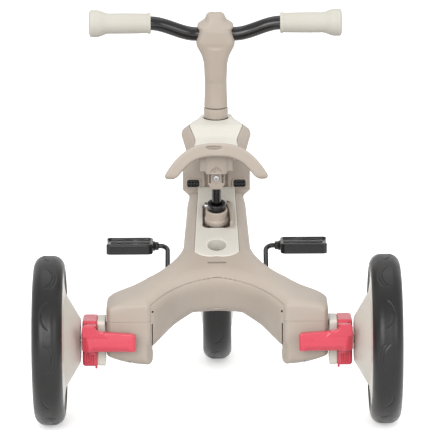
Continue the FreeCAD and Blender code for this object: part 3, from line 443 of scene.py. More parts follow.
def soft_solid(name, field, lowest, highest, cell, where=UPRIGHT, rounds=3):
    """Meshed surface of a field that lies between two corners."""
    points, faces = net(field, lowest, highest, cell)
    points = relaxed(field, settle(field, points), faces, rounds)
    return make(name, points, faces, where, angle=60.0)


def circle(radius, u=0.0, v=0.0, count=32):
    return Outline([(u + radius * math.cos(t), v + radius * math.sin(t))
                    for t in np.linspace(0, 2 * np.pi, count, endpoint=False)])


def prism(name, outline, lowest, highest, where=UPRIGHT):
    """Straight-sided cutter or plate with this outline, between two heights."""
    count = len(outline.path)
    points = [(u, v, h) for h in (lowest, highest) for u, v in outline.path]
    faces = [(k, (k + 1) % count, count + (k + 1) % count, count + k) for k in range(count)]
    faces += [tuple(reversed(range(count))), tuple(range(count, 2 * count))]
    piece = make(name, points, faces, where, angle=0.0)
    turn_outwards(piece)
    return piece


def turn_outwards(piece, merge=False):
    """Turns the faces outwards; merge first joins doubled points and drops empty faces."""
    mesh = bmesh.new()
    mesh.from_mesh(piece.data)
    if merge:
        bmesh.ops.remove_doubles(mesh, verts=mesh.verts, dist=1e-6)
        bmesh.ops.dissolve_degenerate(mesh, edges=mesh.edges, dist=1e-7)
    bmesh.ops.recalc_face_normals(mesh, faces=mesh.faces)
    mesh.to_mesh(piece.data)
    mesh.free()


def carve(piece, cutter, how="DIFFERENCE", keep=False):
    """Boolean with a cutter, which is used up unless keep is set."""
    change = piece.modifiers.new("carve", "BOOLEAN")
    change.operation = how
    change.solver = "MANIFOLD"
    change.object = cutter
    apply_modifiers(piece)
    if not keep:
        discard(cutter)
    return piece


def apply_modifiers(piece):
    bpy.context.view_layer.update()
    graph = bpy.context.evaluated_depsgraph_get()
    mesh = bpy.data.meshes.new_from_object(piece.evaluated_get(graph))
    old = piece.data
    piece.modifiers.clear()
    piece.data = mesh
    bpy.data.meshes.remove(old)


def discard(piece):
    mesh = piece.data
    bpy.data.objects.remove(piece)
    bpy.data.meshes.remove(mesh)


def finish_piece(piece, look, body, *nodes):
    """Material, slot, body and the CAD nodes that this piece stands for."""
    piece.data.materials.clear()
    piece.data.materials.append(LOOKS[look])
    if nodes:
        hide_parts(*nodes)
    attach(piece, body)
    return piece


# ---- rear frame ---------------------------------------------------------
SPINE_FRONT_Y = high("frame_top_shell").y
BOX_OUT_X = high("frame_lower_shell").x
BOX_REAR_Y = low("frame_lower_shell").y
TOP_SLOPE = math.radians(24.0)
TOP_POINT = Vector((0.0, -110.0, 249.0))
TOP_NORMAL = Vector((0.0, -math.sin(TOP_SLOPE), math.cos(TOP_SLOPE)))
BOX_IN_X = 97.0
ARCH_Y = -179.0
ARCH_SIDE = (66.0, -207.0)
ARCH_STEPS = 30
PANEL_GAP = 0.45
SHELL_GAP = 1.25
ARCH_WALL = 5.0
SCREW_X = 128.0
SCREW_Y = (BOX_REAR_Y + 14, BOX_REAR_Y + 68)


def top_z(y):
    return TOP_POINT.z + math.tan(TOP_SLOPE) * (y - TOP_POINT.y)


def frame_field():
    """Outer skin of the Y-frame: plan, side and rear outlines melted together."""
    plan = Outline([
        (44.5, SPINE_FRONT_Y), (51, -88), (70, -130, 118, -157), (BOX_OUT_X, -163), (BOX_OUT_X, BOX_REAR_Y),
        (BOX_IN_X, BOX_REAR_Y), (BOX_IN_X, BOX_REAR_Y + 6), (66, -206.5, 0, ARCH_Y)], mirror=True, steps=24)
    side = Outline([
        (BOX_REAR_Y, 60), (-160, 60), (-147, 152), (-60, 205), (SPINE_FRONT_Y, top_z(SPINE_FRONT_Y) - 46),
        (SPINE_FRONT_Y, top_z(SPINE_FRONT_Y)), (BOX_REAR_Y, top_z(BOX_REAR_Y))])
    rear = Outline([
        (0, 360), (58, 360), (58, 268), (76, 234.5, 103, 215), (121, 203.5, 139, 196.5),
        (153, 190, BOX_OUT_X, 180), (BOX_OUT_X, 108), (148, 101, 107, 94), (97.5, 96, BOX_IN_X, 104),
        (BOX_IN_X, 120), (37, 155), (0, 155)], mirror=True)

    def field(x, y, z):
        blend = 14.0 - 7.0 * smooth_step((np.abs(x) - 140) / 20)
        shape = soft_both(plan.distance(x, y), rear.distance(x, z), blend)
        return soft_both(shape, side.distance(y, z), 24.0)
    return field


def leaning(points):
    """Leans the arch wall: its foot is further forward than its top."""
    y, z = points[:, 1], points[:, 2]
    across = (96.0 - np.abs(points[:, 0])) / 36.0
    along = (-118.0 - y) / 55.0
    lean = np.clip(top_z(y) - 6.0 - z, 0, 70) * 0.46
    points = points.copy()
    points[:, 1] += lean * smooth_step(across) * smooth_step(along)
    return points


def bend_mesh(piece, bend):
    """Applies a millimetre function of points to a finished mesh."""
    mesh = piece.data
    flat = np.empty(len(mesh.vertices) * 3)
    mesh.vertices.foreach_get("co", flat)
    points = bend(flat.reshape(-1, 3) / MM) * MM
    mesh.vertices.foreach_set("co", points.ravel())
    mesh.update()


def arch_strip(name, thick, down):
    """Cutter that follows the arch between the rear ends, below the top surface."""
    start = BOX_REAR_Y + 5.5
    u, v = ARCH_SIDE
    outer = Outline([
        (BOX_IN_X, start), (u, v, 0, ARCH_Y), (-u, v, -BOX_IN_X, start),
        (-BOX_IN_X - thick * 0.3, start + thick), (-u, v + thick * 1.2, 0, ARCH_Y + thick),
        (u, v + thick * 1.2, BOX_IN_X + thick * 0.3, start + thick)], steps=ARCH_STEPS)
    rear_points = 2 * ARCH_STEPS + 1
    wide = Outline([(u, v - (30.0 if k < rear_points else 0.0)) for k, (u, v) in enumerate(outer.path)])
    strip = prism(name, wide, 60.0, 400.0)
    far = 300.0
    square = Outline([(-far, -far), (far, -far), (far, far), (-far, far)])
    return carve(strip, prism("cut_above", square, -down, far, TOP_PLACE))


def along_top(y):
    """Distance down the sloping top surface for a distance along Y."""
    return (y - TOP_POINT.y) / math.cos(TOP_SLOPE)


TOP_PLACE = placed(TOP_POINT, TOP_NORMAL)


def panel_outline(grow):
    front = along_top(SPINE_FRONT_Y)
    return Outline([
        (28 + grow, front), (34 + grow, along_top(-124)),
        (27 + grow, along_top(-130.5) - grow, 0, along_top(-134.6) - grow),
        (-27 - grow, along_top(-130.5) - grow, -34 - grow, along_top(-124)), (-28 - grow, front)], steps=10)


def rear_frame():
    whole = soft_solid("frame_top", frame_field(), (-170, -250, 88), (170, 36, 320), 2.6)
    parting = Outline([
        (BOX_REAR_Y - 20, 161), (-157, 161), (-60, top_z(-60) - 24), (60, top_z(60) - 24),
        (60, 450), (BOX_REAR_Y - 20, 450)])
    upper = prism("cut_upper", parting, -300, 300, SIDEWAYS)
    lower = linked("frame_lower", whole.data.copy())
    wall = linked("frame_arch", whole.data.copy())
    carve(wall, arch_strip("cut_wall", ARCH_WALL, ARCH_WALL), "INTERSECT")
    strip = arch_strip("cut_strip", ARCH_WALL + SHELL_GAP, ARCH_WALL - SHELL_GAP)
    carve(lower, upper, keep=True)
    upper.location.z = 0.35 * MM
    carve(whole, upper, "INTERSECT")
    carve(whole, strip, keep=True)
    carve(lower, strip)
    seat_recess = Outline([
        (14, along_top(-12)), (20, along_top(-14), 21, along_top(-20)), (21, along_top(-56)),
        (19, along_top(-66), 9, along_top(-68)), (-9, along_top(-68)),
        (-19, along_top(-66), -21, along_top(-56)),
        (-21, along_top(-20)), (-20, along_top(-14), -14, along_top(-12))])
    carve(whole, prism("cut_panel", panel_outline(PANEL_GAP), -3.2, 40, TOP_PLACE))
    carve(whole, prism("cut_notch", seat_recess, -34, 40, TOP_PLACE))
    carve(whole, prism("cut_socket", circle(17.2, count=48), -45, 40, TOP_PLACE))
    slit = Outline([
        (12.6, along_top(-151.8)), (14.3, along_top(-150), 12.6, along_top(-148.2)),
        (-12.6, along_top(-148.2)),
        (-14.3, along_top(-150), -12.6, along_top(-151.8))])
    carve(whole, prism("cut_slit", slit, -12, 20, TOP_PLACE))
    for side, _ in SIDES:
        for y in SCREW_Y:
            carve(lower, prism("cut_screw", circle(4.6, side * SCREW_X, y), 60, 100))
        slot = Outline([(side * u, v) for u, v in ((95.3, -260), (97.0, -260), (97.0, -218), (95.3, -218))])
        carve(lower, prism("cut_slot", slot, 119.5, 157))
        carve(wall, prism("cut_slot", slot, 119.5, 157))
        hole = circle(1.7, side * 95.6, 175.0)
        for piece in (whole, lower, wall):
            carve(piece, prism("cut_hole", hole, 200, 262, FACING_REAR))
    for piece in (whole, lower, wall):
        bend_mesh(piece, leaning)
        shade(piece, 50)
    for piece, node in ((whole, "frame_top_shell"), (lower, "frame_lower_shell"), (wall, "frame_arch_wall")):
        finish_piece(piece, "tan_plastic", "frame", node)
    spine_panel(seat_recess)


def spine_panel(seat_recess):
    outline = panel_outline(0.0)

    def field(u, v, w):
        body = soft_both(outline.distance(u, v), slab(w, -3.0, 0.5), 1.6)
        body = soft_both(body, -seat_recess.distance(u, v), 2.0)
        return soft_both(body, 14.8 - np.sqrt(u * u + v * v), 4.0)
    front = along_top(SPINE_FRONT_Y)
    piece = soft_solid("spine_cover", field, (-38, along_top(-140), -5), (38, front + 2, 3), 1.1, TOP_PLACE)
    finish_piece(piece, "cream_plastic", "frame", "spine_panel")


# ---- turned shapes ------------------------------------------------------
def eased(points, radius, steps=4):
    """The points with every corner between them rounded by about radius."""
    path = [points[0]]
    for before, here, after in zip(points, points[1:], points[2:]):
        a, b, c = (np.array(p, float) for p in (before, here, after))
        cut = min(radius, 0.45 * np.linalg.norm(a - b), 0.45 * np.linalg.norm(c - b))
        start = b + (a - b) / np.linalg.norm(a - b) * cut
        end = b + (c - b) / np.linalg.norm(c - b) * cut
        for t in np.linspace(0, 1, steps + 1):
            path.append(tuple((1 - t) ** 2 * start + 2 * t * (1 - t) * b + t * t * end))
    return path + [points[-1]]


def lathe(name, path, where, count=96, angle=35.0, closed=False):
    """Surface turned about the local Z axis; path holds (radius, height)."""
    turn = np.linspace(0, 2 * np.pi, count, endpoint=False)
    points = [(r * math.cos(t), r * math.sin(t), h) for r, h in path for t in turn]
    rows = len(path)
    faces = []
    for k in range(rows if closed else rows - 1):
        here, there = k * count, (k + 1) % rows * count
        for j in range(count):
            after = (j + 1) % count
            faces.append((here + j, here + after, there + after, there + j))
    piece = make(name, points, faces, where, angle=angle)
    tidy_mesh(piece, angle)
    return piece


def tidy_mesh(piece, angle):
    turn_outwards(piece, merge=True)
    shade(piece, angle)


def join(pieces):
    """One piece out of closed pieces that overlap, with the inner walls gone."""
    first = pieces[0]
    for other in pieces[1:]:
        carve(first, other, "UNION")
    return first


def reach(side, low_corner, high_corner):
    """Corners of a block drawn for the right side, on the asked side."""
    if side > 0:
        return low_corner, high_corner
    return (-high_corner[0], low_corner[1], low_corner[2]), (-low_corner[0], high_corner[1], high_corner[2])


def on_both_sides(rows):
    """Moulded pieces drawn for the right side, made on both; {} in a name is the side's name.

    A row holds the name, look, body, CAD node, field, cell and the two corners."""
    for side, name in SIDES:
        for label, look, body, node, field, cell, low_corner, high_corner in rows:
            piece = soft_solid(label.format(name), field, *reach(side, low_corner, high_corner), cell)
            finish_piece(piece, look, body.format(name), node.format(name))


def round_block(x, y, z, low_corner, high_corner, radius):
    """Distance to a box with all its edges rounded."""
    middle_point = [(a + b) / 2 for a, b in zip(low_corner, high_corner)]
    half = [(b - a) / 2 - radius for a, b in zip(low_corner, high_corner)]
    d = [np.abs(v - m) - h for v, m, h in zip((x, y, z), middle_point, half)]
    outside = np.sqrt(sum(np.maximum(v, 0) ** 2 for v in d))
    return outside + np.minimum(np.maximum(np.maximum(d[0], d[1]), d[2]), 0) - radius


STEER_PLACE = placed(HUB, STEER_AXIS)
SEAT_Y = -48.0
SEAT_BASE = Vector((0.0, SEAT_Y, top_z(SEAT_Y)))
SEAT_PLACE = placed(SEAT_BASE, SEAT_AXIS)


# ---- saddle -------------------------------------------------------------
SADDLE_REAR = -130.0
SADDLE_FRONT = high("saddle_shell").y
SADDLE_STATIONS = (SADDLE_REAR, -108, -65, -10, 30, 50)


def along_saddle(values, degree=4):
    return np.poly1d(np.polyfit(SADDLE_STATIONS, values, degree))


SADDLE_CROWN = along_saddle((410, 401.5, 390, 381, 375, 371))
SADDLE_HALF = along_saddle((80, 78.5, 71.5, 48, 33.5, 25))
SADDLE_DROP = along_saddle((53, 49, 41, 24, 15, 9))
SADDLE_EDGE = along_saddle((353.5, 352, 351, 357, 360.5, 362), 3)


def saddle_field(x, y, z):
    """Arched shell, thick at its rear rim, with a lens-shaped recess in the rim."""
    half = SADDLE_HALF(y)
    drop = SADDLE_DROP(y)
    share = np.minimum(np.abs(x) / half, 1.15)
    slope = drop * 2.7 * share ** 1.7 / half
    skin = (z - SADDLE_CROWN(y) + drop * share ** 2.7) / np.sqrt(1 + slope * slope)
    thick = 5.0 + 15.5 * smooth_step((-113.0 - y) / 8.0)
    outer = soft_both(skin, soft_both(np.abs(x) - half, SADDLE_REAR - y, 6.0), 5.0)
    outer = soft_both(outer, y - SADDLE_FRONT, 16.0)
    body = soft_both(outer, -skin - thick, 3.0)
    body = soft_both(body, SADDLE_EDGE(y) - z, 8.0)
    lens = np.sqrt(((x + 3.5) / 12.5) ** 2 + ((y - SADDLE_REAR + 1) / 7.0) ** 2 + ((z - 402.0) / 3.0) ** 2)
    return soft_both(body, (1 - lens) * 3.0, 0.9)


def saddle():
    shell = soft_solid("saddle_top", saddle_field, (-83, -133, 347), (83, SADDLE_FRONT + 2, 413), 1.9)
    ribs = []
    for side, _ in SIDES:
        for place, front_y in ((27.0, -30.0), (60.0, -80.0)):
            def rib_field(x, y, z, middle_x=side * place, end=front_y):
                under = z - SADDLE_CROWN(y) + SADDLE_DROP(y) * (np.abs(x) / SADDLE_HALF(y)) ** 2.7
                plate = soft_both(slab(x, middle_x - 1.1, middle_x + 1.1), slab(y, -121.0, end), 0.8)
                return np.maximum(plate, slab(under, -12.0, -3.4))
            ribs.append(soft_solid("rib", rib_field, (side * place - 3, -123, 335),
                                   (side * place + 3, front_y + 2, 412), 1.1, rounds=0))
    join([shell] + ribs)
    shade(shell, 45)
    finish_piece(shell, "tan_plastic", "saddle", "saddle_shell")


CLAMP_LOW = 58.0
CLAMP_TOP = 88.0
BOLT_Z = CLAMP_LOW + 20.0


def clamp_field(x, y, z):
    front = Outline([(0, CLAMP_LOW), (8.0, CLAMP_LOW), (12.5, CLAMP_LOW + 9), (12.5, CLAMP_TOP),
                     (0, CLAMP_TOP)], mirror=True)
    body = soft_both(front.distance(x, z), slab(y, -13.5, 13.0), 3.0)
    groove = round_block(np.abs(x), y, z, (8.2, -20, CLAMP_LOW + 11), (11.0, -7, CLAMP_TOP + 5), 0.8)
    body = soft_both(body, -groove, 0.8)
    sink = round_block(x, y, z, (-5.9, -20, BOLT_Z - 5.9), (5.9, -10.5, BOLT_Z + 5.9), 5.8)
    body = soft_both(body, -sink, 0.8)
    ring = np.abs(np.sqrt(x * x + (z - BOLT_Z) ** 2) - 6.9) - 0.9
    ring = soft_both(ring, slab(y, -14.8, -12.0), 0.8)
    return soft_any(body, ring, 0.6)


def bracket_field(x, y, z):
    body = round_block(x, y, z, (-16.5, -22, CLAMP_TOP), (16.5, 22, CLAMP_TOP + 48), 3.5)
    pocket = round_block(x, y, z, (-8.5, -30, CLAMP_TOP + 3), (8.5, -19.5, CLAMP_TOP + 14), 2.0)
    pocket = soft_both(pocket, z - (CLAMP_TOP + 14) + np.abs(x) * 0.8, 1.0)
    body = soft_both(body, -pocket, 1.0)
    for place in (-3.4, 0.0, 3.4):
        web = round_block(x, y, z, (place - 0.7, -21.4, CLAMP_TOP + 2),
                          (place + 0.7, -18, CLAMP_TOP + 15), 0.6)
        body = soft_any(body, web, 0.6)
    wing = round_block(np.abs(x), y, z, (15, -20.5, CLAMP_TOP + 6), (25.5, -17.5, CLAMP_TOP + 40), 1.2)
    return soft_any(body, wing, 3.0)


def saddle_mount():
    clamp = soft_solid("saddle_block", clamp_field, (-15, -17, CLAMP_LOW - 2),
                       (15, 15, CLAMP_TOP + 2), 0.8, SEAT_PLACE)
    finish_piece(clamp, "tan_plastic", "saddle", "saddle_clamp")
    bracket = soft_solid("saddle_foot", bracket_field, (-28, -25, CLAMP_TOP - 2),
                         (28, 25, CLAMP_TOP + 50), 1.2, SEAT_PLACE)
    carve(bracket, above_saddle())
    shade(bracket, 50)
    finish_piece(bracket, "tan_plastic", "saddle", "saddle_bracket")
    head = eased([(0, 3.6), (4.4, 3.6), (5.4, 2.4), (5.4, 0), (3.0, 0), (3.0, -22), (0, -22)], 0.8)
    bolt_place = SEAT_PLACE @ placed((0, -11.3, BOLT_Z), (0, -1, 0))
    bolt = lathe("saddle_fixing", head, bolt_place, 48)
    carve(bolt, prism("cut_hex", circle(2.6, count=6), 1.0, 8.0, bolt_place))
    shade(bolt, 30)
    finish_piece(bolt, "steel", "saddle", "saddle_bolt")


def above_saddle():
    """Everything above the middle of the saddle's skin, as a cutter."""
    rows = np.linspace(SADDLE_REAR + 5, 20, 40)
    outline = [(y, SADDLE_CROWN(y) - 4.0) for y in rows] + [(20, 460), (SADDLE_REAR + 5, 460)]
    return prism("cut_above_saddle", Outline(outline), -60, 60, SIDEWAYS)


# ---- seat post, bush, collar and lever ----------------------------------
def seat_fittings():
    cup = [(7.35, 26.0), (8.0, 25.2), (10.4, 25.6), (12.0, 28.6), (13.3, 28.6), (14.2, 26.4), (13.6, 21.0),
           (12.4, 18.4), (10.4, 18.0), (10.4, -30.0), (7.35, -30.0)]
    bush = lathe("post_cup", eased(cup, 1.0), SEAT_PLACE, closed=True)
    finish_piece(bush, "black_plastic", "frame", "seat_bush")

    def collar_field(x, y, z):
        r = np.sqrt(x * x + y * y)
        wall = soft_both(np.abs(r - 14.85) - 1.85, slab(z, -4.5, 18.0), 1.6)
        foot = soft_both(np.abs(r - 15.6) - 2.6, slab(z, -4.5, 3.5), 2.4)
        body = soft_any(wall, foot, 2.5)
        ears = round_block(x, y, z, (-9, 13.2, 4.5), (9, 27, 17.2), 2.4)
        body = soft_any(body, soft_both(ears, 13.0 - r, 0.5), 2.0)
        body = soft_both(body, -round_block(x, y, z, (-1.1, 12, -12), (1.1, 32, 30), 0.4), 0.6)
        return soft_both(body, 3.1 - np.sqrt((y - 21.5) ** 2 + (z - 11) ** 2), 0.4)
    collar = soft_solid("post_collar", collar_field, (-20, -20, -7), (20, 29, 21), 0.8, SEAT_PLACE)
    finish_piece(collar, "tan_plastic", "frame", "seat_collar")

    def lever_field(x, y, z):
        blade = Outline([(17, 27.8), (23.9, 21.5), (25.6, 2, 25.4, -27), (23.0, -30.2, 20.2, -27.5),
                         (19.3, 0, 14, 19)])
        fall = smooth_step((14 - y) / 40.0)
        tall = soft_both(z - (17.8 - 5.0 * fall), 4.2 - 3.0 * fall - z, 2.0)
        body = soft_both(blade.distance(x, y), tall, 2.2)
        eye = round_block(x, y, z, (5, 13.4, 8.0), (17, 29.6, 14.0), 0.8)
        round_end = np.sqrt((x - 17) ** 2 + (y - 21.5) ** 2) - 7.6
        eye = np.minimum(eye, np.maximum(round_end, np.abs(z - 11) - 3.0))
        return soft_both(body, -eye, 0.6)
    lever = soft_solid("quick_lever", lever_field, (9, -33, -1), (28, 30, 20), 0.8, SEAT_PLACE)
    finish_piece(lever, "tan_plastic", "seat_lever", "seat_lever")


# ---- front frame and head cover -----------------------------------------
HEAD_TOP = 268.0
COVER_THICK = 3.2
PLUG_X = 35.5
PLUG_Z = 317.0
FRONT_STATIONS = (
    (SPINE_FRONT_Y, ((38, 301), (46.8, 309), (46.8, 336), (30, 348))),
    (90, ((34, 292), (45, 322), (46, 344), (31, 362))),
    (119, ((33, 304), (43.5, 336), (44.5, 351), (35, 373))),
    (140, ((33, 312), (44, 356), (56.5, 374), (42.5, 389))),
    (166, ((33, 312), (43.5, 356), (55, 377), (29, 395))),
    (middle("front_tyre").y + 4, ((26, 312), (31, 352), (33, 372), (21, 389))),
)


def front_loft(name):
    points, faces = [], []
    for y, half in FRONT_STATIONS:
        points += [(x, y, z) for x, z in half] + [(-x, y, z) for x, z in reversed(half)]
    count = 8
    for row in range(len(FRONT_STATIONS) - 1):
        a, b = row * count, (row + 1) * count
        faces += [(a + k, a + (k + 1) % count, b + (k + 1) % count, b + k) for k in range(count)]
    faces += [tuple(range(count)), tuple(reversed(range(row * count + count, row * count + 2 * count)))]
    piece = make(name, points, faces, angle=0.0)
    bevel = piece.modifiers.new("soft_edges", "BEVEL")
    bevel.width = 5.0 * MM
    bevel.segments = 5
    bevel.limit_method = "ANGLE"
    bevel.angle_limit = math.radians(14)
    apply_modifiers(piece)
    tidy_mesh(piece, 50)
    return piece


def collar_disc(radius, low_end, high_end, soft):
    path = eased([(0, high_end), (radius, high_end), (radius, low_end), (0, low_end)], soft)
    return lathe("head_rim", path, STEER_PLACE, 72)


def front_frame():
    outline = Outline([(0, 430), (26, 430), (42, 389), (33, 372), (32.3, 369, 33.5, 365), (39.5, 351),
                       (28, 330), (0, 330)], mirror=True)
    body = front_loft("front_body")
    cover = front_loft("cover")
    under = front_loft("cover_under")
    under.location.z = -COVER_THICK * MM
    carve(cover, prism("cut_cover", outline, -300, -60, FACING_REAR), "INTERSECT")
    carve(cover, under, keep=True)
    wide = Outline([(u * 1.012 + math.copysign(0.3, u), v - 0.4) for u, v in outline.path])
    gap = prism("cut_body", wide, -300, -59.4, FACING_REAR)
    under.location.z = -(COVER_THICK + 0.5) * MM
    carve(gap, under)
    carve(body, gap)
    for piece in (body, cover):
        carve(piece, collar_disc(25.6, HEAD_TOP - 14.5, HEAD_TOP + 60, 0.2))
    rim = eased([(0, HEAD_TOP - 14), (25, HEAD_TOP - 14), (25, HEAD_TOP - 0.6), (23.6, HEAD_TOP + 0.9),
                 (19.6, HEAD_TOP + 0.9), (19.3, HEAD_TOP - 0.4), (0, HEAD_TOP - 0.4)], 0.9)
    join([cover, lathe("cover_rim", rim, STEER_PLACE, 72)])
    channel = Outline([(-18, 290), (18, 290), (18.5, 352), (0, 368, -18.5, 352)])
    carve(body, prism("cut_channel", channel, -SPINE_FRONT_Y - 14, -SPINE_FRONT_Y + 20, FACING_REAR))
    rims = []
    for side, _ in SIDES:
        x0 = side * PLUG_X
        seat = soft_solid("cut_plug", lambda x, y, z, x0=x0: soft_both(
            rounded_rect(x, z, x0, PLUG_Z, 9.3, 5.8, 3.6), slab(y, 20, 40.5), 0.8),
            (x0 - 12, 19, 309), (x0 + 12, 43, 325), 1.0)
        lip = soft_solid("plug_rim", lambda x, y, z, x0=x0: soft_both(
            np.abs(rounded_rect(x, z, x0, PLUG_Z, 10.6, 7.1, 4.6)) - 1.3, slab(y, 27.4, 34.0), 1.4),
            (x0 - 14, 25, 307), (x0 + 14, 36, 327), 0.9)
        carve(body, seat)
        rims.append(lip)
    join([body] + rims)
    for piece in (body, cover):
        shade(piece, 42)
    finish_piece(body, "tan_plastic", "frame", "front_frame")
    finish_piece(cover, "cream_plastic", "frame", "head_cover")


def frame_plugs():
    def plug_field(x, y, z):
        u = np.abs(x) - PLUG_X
        body = soft_both(rounded_rect(u, z, 0, PLUG_Z, 9.0, 5.5, 3.5), slab(y, 28.6, 39), 1.4)
        for column in (-1, 0, 1):
            for row in (-1, 1):
                hole = round_block(u, y, z, (column * 5.0 - 1.9, 20, PLUG_Z + row * 2.4 - 1.7),
                                   (column * 5.0 + 1.9, 33, PLUG_Z + row * 2.4 + 1.7), 0.7)
                body = soft_both(body, -hole, 0.5)
        return body
    on_both_sides([("plug_{}", "black_plastic", "frame", "frame_plugs", plug_field, 0.6,
                    (25, 27, 310), (46, 41, 324))])


# ---- steering column, stem head and grips -------------------------------
COLUMN_R = 18.5
STEM_LOW = 369.0
COLUMN_LOW = 286.8
BAR_HEIGHT = 404.0
BAR_R = 11.1


def steering_column():
    ring = eased([(13, 269.4), (18.6, 269.4), (19.0, 270.6), (19.0, 284.6), (18.2, 285.6), (13, 285.6)], 0.8)
    foot = lathe("column_foot", ring, STEER_PLACE, closed=True)
    finish_piece(foot, "tan_plastic", "steering", "column_ring")

    def stem_field(x, y, z):
        front = Outline([
            (0, 330), (12.5, 330), (15.0, 356), (20.0, 368), (27.8, 383), (30.2, 391, 28.6, 400), (25.8, 409),
            (25.6, 411, 27.0, 413.5), (28.3, 418, 25.5, 422), (17, 428), (15.5, 432),
            (12, 440.5, 0, 441.5)], mirror=True, steps=8)
        side = Outline([(0, 330), (15.5, 330), (17.5, 372), (19.5, 392), (19, 410), (14, 433),
                        (7, 440.5, 0, 441.5)], mirror=True)
        head = soft_both(front.distance(x, z), side.distance(y, z), 13.0)
        share = np.clip((z - COLUMN_LOW) / (STEM_LOW - COLUMN_LOW), 0, 1)
        sleeve = np.hypot(x, y) - COLUMN_R + 1.2 * np.sin(np.pi * share)
        sleeve = soft_both(sleeve, slab(z, COLUMN_LOW, STEM_LOW + 12), 1.6)
        return np.maximum(soft_any(head, sleeve, 7.0), COLUMN_LOW - z)
    stem = soft_solid("stem", stem_field, (-33, -23, COLUMN_LOW - 2), (33, 23, 445), 1.25, STEER_PLACE)
    finish_piece(stem, "tan_plastic", "steering", "stem_head", "column_cover")


def handlebar():
    """Tube bent in one soft S on each side, swept along its middle line."""
    tip = middle("grip_right")
    rest = STEER_PLACE.inverted() @ Vector((0, tip.y, tip.z))
    end_x = high("handlebar").x
    reach_x = np.linspace(-end_x, end_x, 161)
    share = smooth_step((np.abs(reach_x) - 30) / 72)
    centre = np.stack([reach_x, rest.y * share, BAR_HEIGHT + (rest.z - BAR_HEIGHT) * share], 1)
    ahead = np.gradient(centre, axis=0)
    ahead /= np.linalg.norm(ahead, axis=1)[:, None]
    up = np.cross(ahead, (0, 1, 0))
    up /= np.linalg.norm(up, axis=1)[:, None]
    out = np.cross(up, ahead)
    count = 40
    turn = np.linspace(0, 2 * np.pi, count, endpoint=False)[None, :, None]
    points = centre[:, None] + BAR_R * (up[:, None] * np.cos(turn) + out[:, None] * np.sin(turn))
    index = np.arange(len(centre) * count).reshape(len(centre), count)
    quads = np.stack([index[:-1], np.roll(index[:-1], -1, 1), np.roll(index[1:], -1, 1), index[1:]], -1)
    faces = [tuple(q) for q in quads.reshape(-1, 4)] + [tuple(index[0]), tuple(index[-1])]
    piece = make("bar_tube", points.reshape(-1, 3), faces, STEER_PLACE, angle=50)
    tidy_mesh(piece, 50)
    finish_piece(piece, "black_bar", "steering", "handlebar")


def shell_screws():
    """Pan heads with a cross recess, sunk in the floor of the rear ends."""
    heads = []
    for side, _ in SIDES:
        for y in SCREW_Y:
            place = placed((side * SCREW_X, y, 98.6), (0, 0, -1))
            path = [(0, 16), (2.0, 16), (2.0, 2.4), (4.0, 2.4), (4.0, 1.4), (3.2, 0.5), (1.6, -0.3), (0, 0)]
            head = lathe("case_screws", path, placed((side * SCREW_X, y, 97.4), (0, 0, 1)), 40)
            for u, v in ((2.3, 0.4), (0.4, 2.3)):
                cross = Outline([(-u, -v), (u, -v), (u, v), (-u, v)])
                carve(head, prism("cut_cross", cross, 0.2, 4.0, place))
            heads.append(head)
    screws = join(heads)
    shade(screws, 30)
    finish_piece(screws, "steel", "frame", "shell_screws")


def grips():
    for side, name in SIDES:
        place = middle("grip_" + name)
        inner, outer = sorted(abs(end("grip_" + name).x) for end in (low, high))
        path = [(11.2, inner), (15.4, inner), (16.4, inner + 1.2), (16.4, inner + 4.2), (15.3, inner + 5.6)]
        for t in np.linspace(0.0, 1.0, 22):
            flare = smooth_step((t - 0.70) / 0.24) * 5.6
            radius = 15.6 + 0.5 * math.sin(math.pi * t) + float(flare)
            path.append((radius, inner + 8 + t * (outer - inner - 15)))
        path += [(21.5, outer - 4.5), (20.3, outer - 1.9), (16.5, outer - 0.4), (0.0, outer)]
        piece = lathe("grip_sleeve_" + name, path, placed((0, place.y, place.z), (side, 0, 0)), angle=50)
        finish_piece(piece, "cream_rubber", "steering", "grip_" + name)


# ---- wheels -------------------------------------------------------------
RIM_R = 103.0
MARKS = 12
MARK_HALF = 23
MARK_DEPTH = 1.15


